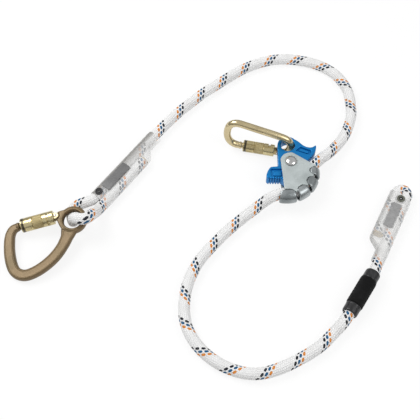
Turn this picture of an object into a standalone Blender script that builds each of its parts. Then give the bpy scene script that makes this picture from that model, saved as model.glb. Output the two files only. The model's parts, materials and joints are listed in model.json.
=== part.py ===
"""Tree climbing lanyard: a braided rope with a cam adjuster and a small locking carabiner in the
middle, a captive-eye locking carabiner on the stitched eye, and a grip and a stitched stop on the
other end. Metres, +Z up, laid out on the floor. The origin is under the middle of the metal parts.
"""

import math

import bmesh
import bpy
import numpy as np
from mathutils import Matrix, Vector

for old_object in list(bpy.data.objects):
    bpy.data.objects.remove(old_object, do_unlink=True)

# Driving dimensions of the rope and of what is slipped over it
ROPE_DIAMETER = 0.016
ROPE_UNDER_SLEEVE_DIAMETER = 0.015
SEAT_GAP = 0.0003
ROPE_STEP = 0.036
ROPE_BEND_STEP = 0.011
ROPE_SIDES_RESOLUTION = 4
SLEEVE_WALL = 0.0008
SLEEVE_LEG_PITCH = 0.0153
SLEEVE_SLACK = 0.0007
EYE_SLEEVE_NECK_WIDTH = 0.022
END_SLEEVE_NECK_WIDTH = 0.019
SLEEVE_TAPER_SHARE = 0.16
LABEL_THICKNESS = 0.0006
TAG_DIAMETER = 0.011
TAG_HOLE_DIAMETER = 0.003
TAG_THICKNESS = 0.0012
CUT_END_LENGTH = 0.0015
GRIP_DIAMETER = 0.023
GRIP_COLLAR_DIAMETER = 0.0215
GRIP_LENGTH = 0.070
GRIP_COLLAR_LENGTH = 0.014

# Driving dimensions of the adjuster
PLATE_THICKNESS = 0.003
PLATE_GAP = 0.017
CAM_THICKNESS = 0.016
AXLE_DIAMETER = 0.010
AXLE_HEAD_DIAMETER = 0.017
AXLE_HEAD_HEIGHT = 0.0045
BUSH_WALL = 0.0015
RUNNING_GAP = 0.0002
AXLE_PLACE = (0.1142, 0.0602)
FINGER_CENTRE = (0.1065, 0.0475)
FINGER_BEND_RADIUS = 0.037
ROPE_BEND_CENTRE = (0.1070, 0.0500)
ROPE_BEND_RADIUS = 0.036
CAM_TURN = math.radians(10)
EYE_HOLE_DIAMETER = 0.020
EYE_WALL = 0.0048

# Driving dimensions of the two carabiners
SMALL_WIRE_DIAMETER = 0.0105
LARGE_WIRE_WIDTH = 0.0146
LARGE_WIRE_THICKNESS = 0.0112

# Round things are made with this many sides
ROUND_STEPS = 32
FINE_STEPS = 36
OVERRUN = 0.002
WELD = 0.00001


def collection(name):
    """Makes a collection and links it to the scene."""
    made = bpy.data.collections.new(name)
    bpy.context.scene.collection.children.link(made)
    return made


PARTS = collection("tree_climbing_lanyard")
CUTTERS = collection("cutters")


def material(name, colour, roughness, metallic=0.0, alpha=1.0):
    """A Principled material with one colour."""
    made = bpy.data.materials.new(name)
    made.use_nodes = True
    shader = made.node_tree.nodes["Principled BSDF"]
    shader.inputs["Base Color"].default_value = (*colour, 1.0)
    shader.inputs["Roughness"].default_value = roughness
    shader.inputs["Metallic"].default_value = metallic
    shader.inputs["Alpha"].default_value = alpha
    made.diffuse_color = (*colour, alpha)
    return made


def empty(name, parent=None, matrix=None):
    """An empty that places a group of pieces, or lies on a joint's axis."""
    made = bpy.data.objects.new(name, None)
    PARTS.objects.link(made)
    made.parent = parent
    made.matrix_local = matrix if matrix is not None else Matrix.Identity(4)
    return made


def place(mesh, name, parent, finish=None, sharp=math.radians(35)):
    """Makes a named object of a mesh, under its parent, with its own material."""
    made = bpy.data.objects.new(name, mesh)
    PARTS.objects.link(made)
    made.parent = parent
    mesh.shade_smooth()
    mesh.set_sharp_from_angle(angle=sharp)
    mesh.materials.clear()
    if finish is not None:
        mesh.materials.append(finish)
    return made


def cutter(mesh, name, parent):
    """Makes an object that only cuts, joins or bounds others."""
    made = bpy.data.objects.new(name, mesh)
    CUTTERS.objects.link(made)
    made.parent = parent
    made.hide_render = True
    made.display_type = "WIRE"
    return made


def combine(target, tool, operation):
    """Adds a Boolean of the tool to the target."""
    step = target.modifiers.new(f"{operation}_{tool.name}".lower(), "BOOLEAN")
    step.operation = operation
    step.object = tool
    step.solver = "EXACT"


def bevel(target, width, segments=2, angle=math.radians(40)):
    """Rounds the edges of the target that turn more than the angle."""
    step = target.modifiers.new("rounded_edges", "BEVEL")
    step.width = width
    step.segments = segments
    step.limit_method = "ANGLE"
    step.angle_limit = angle
    step.use_clamp_overlap = True


def welded(mesh):
    """Merges the loose caps of a mesh and makes its faces point out."""
    shell = bmesh.new()
    shell.from_mesh(mesh)
    bmesh.ops.remove_doubles(shell, verts=shell.verts, dist=WELD)
    bmesh.ops.recalc_face_normals(shell, faces=shell.faces)
    shell.to_mesh(mesh)
    shell.free()
    return mesh


def frozen(source):
    """The mesh of an object as it is evaluated, in its own coordinates. The object is removed."""
    bpy.context.view_layer.update()
    evaluated = source.evaluated_get(bpy.context.evaluated_depsgraph_get())
    mesh = bpy.data.meshes.new_from_object(evaluated)
    bpy.data.objects.remove(source, do_unlink=True)
    return welded(mesh)


def turned(profile, steps=ROUND_STEPS):
    """A solid turned round Z from a closed profile of (radius, height) points, top to bottom
    down its outer side and back up its inner side or its axis."""
    mesh = bpy.data.meshes.new("turned")
    count = len(profile)
    inside_axis = min(radius for radius, height in profile) < WELD
    links = [(i, (i + 1) % count) for i in range(count)]
    if inside_axis:
        links = [(i, i + 1) for i in range(count - 1)]
    mesh.from_pydata([(radius, 0, height) for radius, height in profile], links, [])
    source = bpy.data.objects.new("turned", mesh)
    PARTS.objects.link(source)
    screw = source.modifiers.new("turn", "SCREW")
    screw.axis = "Z"
    screw.steps = steps
    screw.render_steps = steps
    screw.use_merge_vertices = True
    screw.merge_threshold = WELD
    return frozen(source)


def flat_shape(outline, low, high):
    """A flat solid of an outline of (x, y) points between two heights."""
    curve = bpy.data.curves.new("flat", "CURVE")
    curve.dimensions = "2D"
    curve.fill_mode = "BOTH"
    curve.extrude = (high - low) / 2
    line = curve.splines.new("POLY")
    line.points.add(len(outline) - 1)
    for point, (x, y) in zip(line.points, outline):
        point.co = (x, y, 0, 1)
    line.use_cyclic_u = True
    source = bpy.data.objects.new("flat", curve)
    PARTS.objects.link(source)
    mesh = frozen(source)
    mesh.transform(Matrix.Translation((0, 0, (low + high) / 2)))
    return mesh


def tube(points, radius, resolution=2, radii=None, closed=False):
    """A round tube along points, with filled ends and a radius share at each point."""
    curve = bpy.data.curves.new("tube", "CURVE")
    curve.dimensions = "3D"
    curve.bevel_depth = radius
    curve.bevel_resolution = resolution
    curve.use_fill_caps = not closed
    line = curve.splines.new("POLY")
    line.points.add(len(points) - 1)
    for number, (point, where) in enumerate(zip(line.points, points)):
        point.co = (*where, 1)
        point.radius = 1.0 if radii is None else radii[number]
    line.use_cyclic_u = closed
    source = bpy.data.objects.new("tube", curve)
    PARTS.objects.link(source)
    return frozen(source)


def cylinder(radius, low, high, steps=ROUND_STEPS):
    """A cylinder along Z between two heights."""
    shell = bmesh.new()
    bmesh.ops.create_cone(
        shell, cap_ends=True, segments=steps, radius1=radius, radius2=radius, depth=high - low
    )
    mesh = bpy.data.meshes.new("cylinder")
    shell.to_mesh(mesh)
    shell.free()
    mesh.transform(Matrix.Translation((0, 0, (low + high) / 2)))
    return mesh


def box(low, high):
    """A box between two corners."""
    shell = bmesh.new()
    bmesh.ops.create_cube(shell, size=1.0)
    mesh = bpy.data.meshes.new("box")
    shell.to_mesh(mesh)
    shell.free()
    low, high = Vector(low), Vector(high)
    size = Matrix.Diagonal((*(high - low), 1.0))
    mesh.transform(Matrix.Translation((low + high) / 2) @ size)
    return mesh


def scaled_outline(shares, length):
    """An outline's points from its shares of one length."""
    return [(x * length, y * length) for x, y in shares]


def arc(centre, radius, start, end, steps):
    """Points of an arc between two angles, in order."""
    angles = np.linspace(start, end, steps)
    return [(centre[0] + radius * math.cos(a), centre[1] + radius * math.sin(a)) for a in angles]


LINE_SAMPLES = 24


def smooth_line(route, samples=LINE_SAMPLES):
    """Points close together on a natural cubic curve through a route's points, by chord length."""
    route = np.asarray(route, float)
    reach = np.linalg.norm(np.diff(route, axis=0), axis=1)
    count = len(route)
    system = np.zeros((count, count))
    right = np.zeros_like(route)
    system[0, 0] = system[-1, -1] = 1.0
    for i in range(1, count - 1):
        before, after = reach[i - 1], reach[i]
        system[i, i - 1 : i + 2] = before, 2 * (before + after), after
        step_after = (route[i + 1] - route[i]) / after
        step_before = (route[i] - route[i - 1]) / before
        right[i] = 6 * (step_after - step_before)
    bend = np.linalg.solve(system, right)
    line = []
    for i in range(count - 1):
        for share in np.linspace(0, 1, samples, endpoint=False):
            here = share * reach[i]
            left = reach[i] - here
            line.append(
                (bend[i] * left**3 + bend[i + 1] * here**3) / (6 * reach[i])
                + (route[i] / reach[i] - bend[i] * reach[i] / 6) * left
                + (route[i + 1] / reach[i] - bend[i + 1] * reach[i] / 6) * here
            )
    line.append(route[-1])
    return np.array(line)


def spaced(line, step):
    """Points at an even spacing along a line, ends kept."""
    reach = np.linalg.norm(np.diff(line, axis=0), axis=1)
    along = np.concatenate([[0.0], np.cumsum(reach)])
    count = max(2, int(round(along[-1] / step)) + 1)
    wanted = np.linspace(0, along[-1], count)
    return np.stack([np.interp(wanted, along, line[:, k]) for k in range(3)], axis=1)


# Finishes
STEEL = material("polished_steel", (0.62, 0.62, 0.64), 0.22, 1.0)
PLATE_STEEL = material("satin_steel", (0.56, 0.58, 0.58), 0.38, 1.0)
BLUE = material("blue_anodised_aluminium", (0.01, 0.22, 0.62), 0.3, 0.6)
PALE_GOLD = material("pale_gold_zinc", (0.60, 0.52, 0.33), 0.3, 1.0)
BRONZE = material("bronze_zinc", (0.42, 0.32, 0.16), 0.34, 1.0)
BRONZE_BUSH = material("bronze_bush", (0.55, 0.40, 0.20), 0.4, 1.0)
WHITE_ROPE = material("white_braid", (0.86, 0.86, 0.84), 0.8)
CLEAR_SLEEVE = material("clear_shrink_sleeve", (0.80, 0.82, 0.80), 0.35, 0.0, 0.45)
LABEL_GREY = material("grey_label", (0.36, 0.37, 0.35), 0.6)
TAG_BLACK = material("black_tag", (0.02, 0.02, 0.02), 0.5)
TAG_OLIVE = material("olive_tag", (0.10, 0.10, 0.08), 0.5)
SEALED_END = material("heat_sealed_end", (0.45, 0.33, 0.14), 0.5)
GRIP_BLACK = material("black_textile_grip", (0.015, 0.015, 0.015), 0.85)
COLLAR_BLACK = material("glossy_black_collar", (0.02, 0.02, 0.022), 0.25)

LANYARD = empty("lanyard")

# The rope's route over the floor, read from left to right along the photographed rope. The height
# is the rope's middle: on the floor, in a sleeve, through the adjuster or over the captive ring.
EYE_ROUTE = [
    (-0.0962, 0.0766, 0.0090),
    (-0.1152, 0.0508, 0.0090),
    (-0.1390, 0.0186, 0.0090),
    (-0.1461, 0.0090, 0.0090),
    (-0.1498, 0.0040, 0.0090),
    (-0.1540, -0.0030, 0.0102),
    (-0.1588, -0.0160, 0.0205),
    (-0.1626, -0.0289, 0.0338),
    (-0.1690, -0.0354, 0.0378),
    (-0.1762, -0.0350, 0.0370),
    (-0.1824, -0.0312, 0.0322),
    (-0.1860, -0.0288, 0.0255),
    (-0.1872, -0.0275, 0.0190),
    (-0.1885, -0.0250, 0.0126),
    (-0.1905, -0.0195, 0.0087),
    (-0.1925, -0.0115, 0.0082),
    (-0.1915, -0.0045, 0.0080),
    (-0.1860, 0.0025, 0.0080),
    (-0.1775, 0.0070, 0.0080),
    (-0.1683, 0.0105, 0.0084),
    (-0.1601, 0.0158, 0.0090),
    (-0.1558, 0.0216, 0.0090),
    (-0.1513, 0.0277, 0.0090),
    (-0.1465, 0.0341, 0.0090),
    (-0.1200, 0.0701, 0.0090),
    (-0.0900, 0.1108, 0.0090),
]
UPPER_ROUTE = [
    (-0.0900, 0.1108, 0.0090),
    (-0.0755, 0.1295, 0.0087),
    (-0.0620, 0.1470, 0.0080),
    (-0.0465, 0.1650, 0.0080),
    (-0.0300, 0.1815, 0.0080),
    (-0.0140, 0.1970, 0.0080),
    (0.0030, 0.2110, 0.0080),
    (0.0190, 0.2235, 0.0080),
    (0.0370, 0.2375, 0.0080),
    (0.0560, 0.2500, 0.0080),
    (0.0780, 0.2600, 0.0080),
    (0.1000, 0.2660, 0.0080),
    (0.1200, 0.2672, 0.0080),
    (0.1400, 0.2645, 0.0080),
    (0.1600, 0.2590, 0.0080),
    (0.1785, 0.2495, 0.0080),
    (0.1940, 0.2360, 0.0080),
    (0.2045, 0.2190, 0.0080),
    (0.2105, 0.2000, 0.0080),
    (0.2120, 0.1800, 0.0080),
    (0.2110, 0.1600, 0.0080),
    (0.2060, 0.1400, 0.0082),
    (0.1970, 0.1200, 0.0088),
    (0.1840, 0.1010, 0.0105),
    (0.1700, 0.0850, 0.0145),
    (0.1600, 0.0745, 0.0190),
    (0.1515, 0.0650, 0.0220),
]
ADJUSTER_ROUTE = [
    (0.1515, 0.0650, 0.0220),
    (0.1446, 0.0562, 0.0222),
    (0.1405, 0.0440, 0.0223),
    (0.1358, 0.0325, 0.0223),
    (0.1275, 0.0226, 0.0223),
    (0.1165, 0.0165, 0.0223),
    (0.1050, 0.0143, 0.0222),
    (0.0940, 0.0120, 0.0217),
]
LOWER_ROUTE = [
    (0.0940, 0.0120, 0.0217),
    (0.0800, 0.0065, 0.0180),
    (0.0645, -0.0035, 0.0124),
    (0.0500, -0.0140, 0.0087),
    (0.0340, -0.0280, 0.0080),
    (0.0180, -0.0440, 0.0080),
    (0.0040, -0.0600, 0.0080),
    (-0.0080, -0.0745, 0.0080),
    (-0.0190, -0.0920, 0.0080),
    (-0.0270, -0.1100, 0.0080),
    (-0.0320, -0.1300, 0.0080),
    (-0.0338, -0.1500, 0.0080),
    (-0.0320, -0.1700, 0.0080),
    (-0.0260, -0.1880, 0.0080),
    (-0.0150, -0.2050, 0.0080),
    (0.0000, -0.2200, 0.0080),
    (0.0180, -0.2315, 0.0080),
    (0.0380, -0.2390, 0.0080),
    (0.0585, -0.2412, 0.0080),
    (0.0800, -0.2370, 0.0080),
    (0.1020, -0.2280, 0.0080),
    (0.1240, -0.2160, 0.0081),
    (0.1440, -0.2020, 0.0084),
    (0.1620, -0.1840, 0.0092),
    (0.1745, -0.1704, 0.0109),
    (0.1800, -0.1620, 0.0115),
]
END_ROUTE = [
    (0.1800, -0.1620, 0.0115),
    (0.1895, -0.1472, 0.0115),
    (0.2083, -0.1178, 0.0115),
    (0.2178, -0.1030, 0.0114),
    (0.2254, -0.0873, 0.0091),
    (0.2340, -0.0700, 0.0090),
    (0.2450, -0.0478, 0.0090),
    (0.2690, 0.0005, 0.0090),
]


UNDER_SLEEVE_SHARE = ROPE_UNDER_SLEEVE_DIAMETER / ROPE_DIAMETER


WHOLE_ROUTE = EYE_ROUTE + UPPER_ROUTE[1:] + ADJUSTER_ROUTE[1:] + LOWER_ROUTE[1:] + END_ROUTE[1:]
ROPE_LINE = smooth_line(WHOLE_ROUTE)
ROPE_LEAD = 0.003


def stretch_line(route):
    """The part of the whole rope's smooth line that one route covers, and its end directions."""
    first = WHOLE_ROUTE.index(route[0]) * LINE_SAMPLES
    last = WHOLE_ROUTE.index(route[-1]) * LINE_SAMPLES
    start = ROPE_LINE[first + 1] - ROPE_LINE[max(first - 1, 0)]
    end = ROPE_LINE[min(last + 1, len(ROPE_LINE) - 1)] - ROPE_LINE[last - 1]
    return ROPE_LINE[first : last + 1], start / np.linalg.norm(start), end / np.linalg.norm(end)


def rope_points(route, step, slim_start=-1.0, slim_end=math.inf):
    """Points along one stretch, drawn back at both ends, square to its neighbours, and the radius
    share at each point: slimmer before the first length and after the second."""
    line, start, end = stretch_line(route)
    points = spaced(line, step)
    first = [points[0] + start * SEAT_GAP, points[0] + start * ROPE_LEAD]
    last = [points[-1] - end * ROPE_LEAD, points[-1] - end * SEAT_GAP]
    points = np.array([*first, *points[1:-1], *last])
    reach = np.linalg.norm(np.diff(points, axis=0), axis=1)
    along = np.concatenate([[0.0], np.cumsum(reach)])
    slim = (along <= slim_start) | (along >= slim_end)
    return points, np.where(slim, UNDER_SLEEVE_SHARE, 1.0)


def build_stretch(name, route, step, slim_start=-1.0, slim_end=math.inf):
    """A plain round stretch of the rope."""
    points, shares = rope_points(route, step, slim_start, slim_end)
    mesh = tube(points, ROPE_DIAMETER / 2, ROPE_SIDES_RESOLUTION, shares)
    return place(mesh, name, LANYARD, WHITE_ROPE)


def route_length(points):
    """The length of a run of straight lines through points."""
    return float(np.sum(np.linalg.norm(np.diff(np.asarray(points), axis=0), axis=1)))


def leg_frame(start, toward):
    """A frame on a standing leg's middle: X along the sleeve, Z up, Y to the leg's outer side."""
    start, toward = Vector(start), Vector(toward)
    along = toward - start
    along.z = 0.0
    along.normalize()
    across = Vector((-along.y, along.x, 0.0))
    matrix = Matrix.Identity(4)
    for row in range(3):
        matrix[row][0] = along[row]
        matrix[row][1] = across[row]
        matrix[row][3] = start[row]
    return matrix


SLEEVE_RADIUS = ROPE_UNDER_SLEEVE_DIAMETER / 2 + SLEEVE_SLACK + SLEEVE_WALL
SLEEVE_SECTION_STEPS = 7


def sleeve_section(inset, tail_side):
    """A section of two round sides, from the standing leg's outer side to the tail side."""
    radius = SLEEVE_RADIUS - inset
    top = SLEEVE_RADIUS - inset
    low = tail_side + inset
    left = arc((low + radius, 0), radius, math.pi / 2, math.pi * 3 / 2, SLEEVE_SECTION_STEPS)
    right = arc((top - radius, 0), radius, -math.pi / 2, math.pi / 2, SLEEVE_SECTION_STEPS)
    return left + right


def sleeve_shell(stations, skew):
    """A thin tube lofted through sections of changing width. A station is (x, tail side, skew
    share): the section leans with its y, so that a mouth is cut at a slant."""
    shell = bmesh.new()
    rings = []
    for inset in (0.0, SLEEVE_WALL):
        for x, tail_side, lean in stations:
            section = sleeve_section(inset, tail_side)
            rings.append(
                [shell.verts.new((x + skew * lean * (y - SLEEVE_RADIUS), y, z)) for y, z in section]
            )
    count = len(stations)
    outer, inner = rings[:count], rings[count:]
    size = len(outer[0])
    pairs = list(zip(outer[:-1], outer[1:])) + list(zip(inner[1:], inner[:-1]))
    pairs += [(outer[-1], inner[-1]), (inner[0], outer[0])]
    for first, second in pairs:
        for i in range(size):
            j = (i + 1) % size
            shell.faces.new((first[i], first[j], second[j], second[i]))
    bmesh.ops.recalc_face_normals(shell, faces=shell.faces)
    mesh = bpy.data.meshes.new("sleeve")
    shell.to_mesh(mesh)
    shell.free()
    return mesh


def build_sleeve(prefix, frame, length, shoulder, neck_width, skew):
    """A clear shrink sleeve over a stitched splice: wide over both legs, narrow past the tail."""
    wide = -(SLEEVE_LEG_PITCH + SLEEVE_RADIUS)
    neck = SLEEVE_RADIUS - neck_width
    taper = length * SLEEVE_TAPER_SHARE
    stations = [
        (0.0, wide, 1.0),
        (shoulder, wide, 0.0),
        (shoulder + taper / 2, (wide * 0.3 + neck * 0.7), 0.0),
        (shoulder + taper, neck, 0.0),
        (length, neck, 0.0),
    ]
    place(sleeve_shell(stations, skew), f"{prefix}_sleeve", frame, CLEAR_SLEEVE)


def build_label(prefix, frame, start, length, width, across):
    """A thin label lying on the sleeve's flat upper side, between the two legs."""
    seat = SLEEVE_RADIUS + SEAT_GAP
    low = (start, across - width / 2, seat)
    high = (start + length, across + width / 2, seat + LABEL_THICKNESS)
    return place(box(low, high), f"{prefix}_label", frame, LABEL_GREY)


def build_tag(prefix, frame, where, finish):
    """A small round token with a hole, lying on the sleeve."""
    outer, inner = TAG_DIAMETER / 2, TAG_HOLE_DIAMETER / 2
    edge = TAG_THICKNESS / 4
    profile = [
        (inner, TAG_THICKNESS),
        (outer - edge, TAG_THICKNESS),
        (outer, TAG_THICKNESS - edge),
        (outer, 0),
        (inner, 0),
    ]
    mesh = turned(profile)
    mesh.transform(Matrix.Translation((*where, SLEEVE_RADIUS + SEAT_GAP)))
    place(mesh, f"{prefix}_tag", frame, finish)


def build_cut_end(prefix, where, away):
    """The melted cap on the tail's cut end."""
    profile = [
        (0, CUT_END_LENGTH),
        (ROPE_UNDER_SLEEVE_DIAMETER / 2 * 0.8, CUT_END_LENGTH),
        (ROPE_UNDER_SLEEVE_DIAMETER / 2, CUT_END_LENGTH / 2),
        (ROPE_UNDER_SLEEVE_DIAMETER / 2, 0),
        (0, 0),
    ]
    mesh = turned(profile, 16)
    away = Vector(away).normalized()
    turn = away.to_track_quat("Z", "Y").to_matrix().to_4x4()
    mesh.transform(Matrix.Translation(Vector(where) + away * SEAT_GAP) @ turn)
    place(mesh, f"{prefix}_cut_end", LANYARD, SEALED_END)


# The two sleeves lie along their standing legs
EYE_MOUTH = EYE_ROUTE[-6]
END_MOUTH = (0.2731, 0.0087, 0.0090)
END_LEG_TOP = (0.2230, -0.0921, 0.0090)
EYE_SLEEVE_LENGTH = 0.1298
EYE_SLEEVE_SHOULDER = 0.0903
EYE_MOUTH_SKEW = 0.14
END_SLEEVE_LENGTH = 0.1060
END_SLEEVE_SHOULDER = 0.074
END_MOUTH_SKEW = 0.22
EYE_LABEL_START = 0.0158
EYE_LABEL_LENGTH = 0.0475
EYE_LABEL_WIDTH = 0.0140
EYE_LABEL_ACROSS = -0.0045
END_LABEL_START = 0.0138
END_LABEL_LENGTH = 0.0400
END_LABEL_WIDTH = 0.0130
EYE_TAG_PLACE = (0.0058, -0.0016)
END_TAG_PLACE = (0.0042, -0.0060)

eye_frame = leg_frame(EYE_MOUTH, EYE_ROUTE[-2])
end_frame = leg_frame(END_MOUTH, END_LEG_TOP)
EYE_SLEEVE_FRAME = empty("eye_sleeve_place", LANYARD, eye_frame)
END_SLEEVE_FRAME = empty("end_sleeve_place", LANYARD, end_frame)

END_TAIL_LENGTH = 0.0650
FOLD_OUT = 0.0070
FOLD_STRETCH = 1.25
FOLD_STEPS = 9


def build_rope_end():
    """The end fold: standing leg up the sleeve, a tight fold out of its mouth, and the tail."""
    radius = SLEEVE_LEG_PITCH / 2
    fold = [
        end_frame
        @ Vector((-FOLD_OUT - radius * math.sin(a) * FOLD_STRETCH, radius * (math.cos(a) - 1), 0))
        for a in np.linspace(0, math.pi, FOLD_STEPS)
    ]
    tail = end_frame @ Vector((END_TAIL_LENGTH, -SLEEVE_LEG_PITCH, 0))
    start = Vector(END_ROUTE[-1])
    points = [tuple(p) for p in [start, *fold, tail]]
    count = len(points)
    direction = Vector(points[1]) - start
    points[0] = tuple(start + direction.normalized() * SEAT_GAP)
    mesh = tube(points, ROPE_DIAMETER / 2, ROPE_SIDES_RESOLUTION, [UNDER_SLEEVE_SHARE] * count)
    place(mesh, "rope_end", LANYARD, WHITE_ROPE)
    build_cut_end("end", tail, end_frame.to_3x3() @ Vector((1, 0, 0)))


def build_rope():
    """All stretches of the rope, in order along it."""
    build_cut_end("eye", EYE_ROUTE[0], Vector(EYE_ROUTE[0]) - Vector(EYE_ROUTE[1]))
    tail = route_length(EYE_ROUTE[:6])
    leg = route_length(EYE_ROUTE) - route_length(EYE_ROUTE[-7:])
    build_stretch("rope_eye", EYE_ROUTE, ROPE_BEND_STEP, tail, leg)
    build_stretch("rope_upper", UPPER_ROUTE, ROPE_STEP, slim_start=ROPE_STEP)
    build_stretch("rope_in_adjuster", ADJUSTER_ROUTE, ROPE_BEND_STEP)
    build_stretch("rope_lower", LOWER_ROUTE, ROPE_STEP)
    grip = route_length(END_ROUTE[:4])
    build_stretch("rope_through_grip", END_ROUTE, ROPE_STEP / 4, slim_end=grip)
    build_rope_end()


def build_grip():
    """The black hand grip over the rope: a textile middle between two glossy collars."""
    start, end = Vector(END_ROUTE[0]), Vector(END_ROUTE[3])
    start.z = end.z = GRIP_DIAMETER / 2
    along = (end - start).normalized()
    middle = (start + end) / 2
    turn = along.to_track_quat("Z", "Y").to_matrix().to_4x4()
    frame = empty("grip_place", LANYARD, Matrix.Translation(middle) @ turn)
    inner = ROPE_DIAMETER / 2 + SEAT_GAP * 2
    outer = GRIP_DIAMETER / 2
    collar = GRIP_COLLAR_DIAMETER / 2
    half = GRIP_LENGTH / 2
    land = half - GRIP_COLLAR_LENGTH
    round_off = (outer - inner) / 4
    profile = [
        (inner, land),
        (outer - round_off, land),
        (outer, land - round_off),
        (outer, -land + round_off),
        (outer - round_off, -land),
        (inner, -land),
    ]
    place(turned(profile), "grip_sleeve", frame, GRIP_BLACK)
    for name, side in (("grip_collar_upper", 1), ("grip_collar_lower", -1)):
        round_off = (collar - inner) / 2
        profile = [
            (inner, GRIP_COLLAR_LENGTH - SEAT_GAP),
            (collar - round_off, GRIP_COLLAR_LENGTH - SEAT_GAP),
            (collar - round_off * 0.3, GRIP_COLLAR_LENGTH - round_off * 0.3),
            (collar, GRIP_COLLAR_LENGTH - round_off),
            (collar, 0),
            (inner, 0),
        ]
        mesh = turned(profile)
        turn_over = Matrix.Rotation(0.0 if side > 0 else math.pi, 4, "X")
        mesh.transform(Matrix.Translation((0, 0, side * (land + SEAT_GAP))) @ turn_over)
        place(mesh, name, frame, COLLAR_BLACK)


def build_terminations():
    """The sleeves over the two splices, with the label and the token on each."""
    build_sleeve(
        "eye", EYE_SLEEVE_FRAME, EYE_SLEEVE_LENGTH, EYE_SLEEVE_SHOULDER, EYE_SLEEVE_NECK_WIDTH,
        EYE_MOUTH_SKEW,
    )
    build_sleeve(
        "end", END_SLEEVE_FRAME, END_SLEEVE_LENGTH, END_SLEEVE_SHOULDER, END_SLEEVE_NECK_WIDTH,
        END_MOUTH_SKEW,
    )
    build_label(
        "eye", EYE_SLEEVE_FRAME, EYE_LABEL_START, EYE_LABEL_LENGTH, EYE_LABEL_WIDTH,
        EYE_LABEL_ACROSS,
    )
    build_label(
        "end", END_SLEEVE_FRAME, END_LABEL_START, END_LABEL_LENGTH, END_LABEL_WIDTH,
        -SLEEVE_LEG_PITCH / 2,
    )
    build_tag("eye", EYE_SLEEVE_FRAME, EYE_TAG_PLACE, TAG_BLACK)
    build_tag("end", END_SLEEVE_FRAME, END_TAG_PLACE, TAG_OLIVE)


# The adjuster lies flat, its middle plane raised so that the small carabiner's wire passes under
# the cam, which it hangs in
BARREL_DIAMETER = 0.0174
SMALL_GATE_HEIGHT = BARREL_DIAMETER / 2
ADJUSTER_HEIGHT = SMALL_GATE_HEIGHT + SMALL_WIRE_DIAMETER / 2 + SEAT_GAP + CAM_THICKNESS / 2
AXLE = empty(
    "adjuster_axle_place", LANYARD, Matrix.Translation((*AXLE_PLACE, ADJUSTER_HEIGHT))
)
FINGERS = (FINGER_CENTRE[0] - AXLE_PLACE[0], FINGER_CENTRE[1] - AXLE_PLACE[1])
BEND_INNER = PLATE_GAP / 2
BEND_OUTER = BEND_INNER + PLATE_THICKNESS
BEND_REACH = FINGER_BEND_RADIUS + BEND_OUTER + OVERRUN

# The plates' outline round the axle, as shares of the plates' height, top left corner first
PLATE_HEIGHT = FINGER_BEND_RADIUS * 2.027
PLATE_CORNER_RADIUS = 0.0150
PLATE_RIM_RADIUS = FINGER_BEND_RADIUS + BEND_OUTER * 0.50
PLATE_LEFT_SHARE = (-0.172, -0.640)
PLATE_FOOT_SHARE = (-0.080, -0.700)
PLATE_TOP_SHARE = (0.257, 0.066)
PLATE_RIM_ANGLES = (math.radians(-72), math.radians(6))

# Each finger's span round the fingers' centre, in degrees, from the lower left to the upper right
FINGER_SPANS = [(-103.0, -72.5), (-67.5, -45.0), (-39.5, -18.5), (-12.0, 5.5)]
FINGER_SLOT = 0.0009
FINGER_TIP_ROUND = 0.0045


def plate_outline(rim_radius):
    """One side plate seen from the front: round the axle, down to the foot, and round the rim."""
    shares = (PLATE_LEFT_SHARE, PLATE_FOOT_SHARE, PLATE_TOP_SHARE)
    left, foot, top = scaled_outline(shares, PLATE_HEIGHT)
    start, end = PLATE_RIM_ANGLES
    rim = arc(FINGERS, rim_radius, start, end, 14)
    shoulder = arc((0, 0), PLATE_CORNER_RADIUS, math.radians(78), math.radians(172), 8)
    return [*shoulder, left, foot, *rim, top]


def finger_outline(low, high, inner, outer):
    """A wedge with rounded inner corners, round the fingers' centre."""
    low, high = math.radians(low), math.radians(high)
    turn = FINGER_TIP_ROUND / inner
    lead = arc(FINGERS, inner + FINGER_TIP_ROUND, low, low, 1)
    tip = arc(FINGERS, inner, low + turn, high - turn, 5)
    trail = arc(FINGERS, inner + FINGER_TIP_ROUND, high, high, 1)
    rim = arc(FINGERS, outer, high, low, 6)
    return [*lead, *tip, *trail, *rim]


def bend_channel():
    """The half-round bend of the rear plate, turned all the way round the fingers' centre."""
    steps = 9
    low = [
        (FINGER_BEND_RADIUS + r * math.cos(a), r * math.sin(a))
        for r, a in [(BEND_OUTER, a) for a in np.linspace(math.pi / 2, -math.pi / 2, steps)]
    ]
    high = [
        (FINGER_BEND_RADIUS + r * math.cos(a), r * math.sin(a))
        for r, a in [(BEND_INNER, a) for a in np.linspace(-math.pi / 2, math.pi / 2, steps)]
    ]
    tip = [(FINGER_BEND_RADIUS - PLATE_THICKNESS, h) for h in (BEND_INNER, BEND_OUTER)]
    root_radius = FINGER_BEND_RADIUS - PLATE_THICKNESS
    root = [(root_radius, -BEND_OUTER + SEAT_GAP), (root_radius, -BEND_INNER - SEAT_GAP)]
    mesh = turned([*low, *root, *high, *tip], 72)
    mesh.transform(Matrix.Translation((*FINGERS, 0)))
    return mesh


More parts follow.
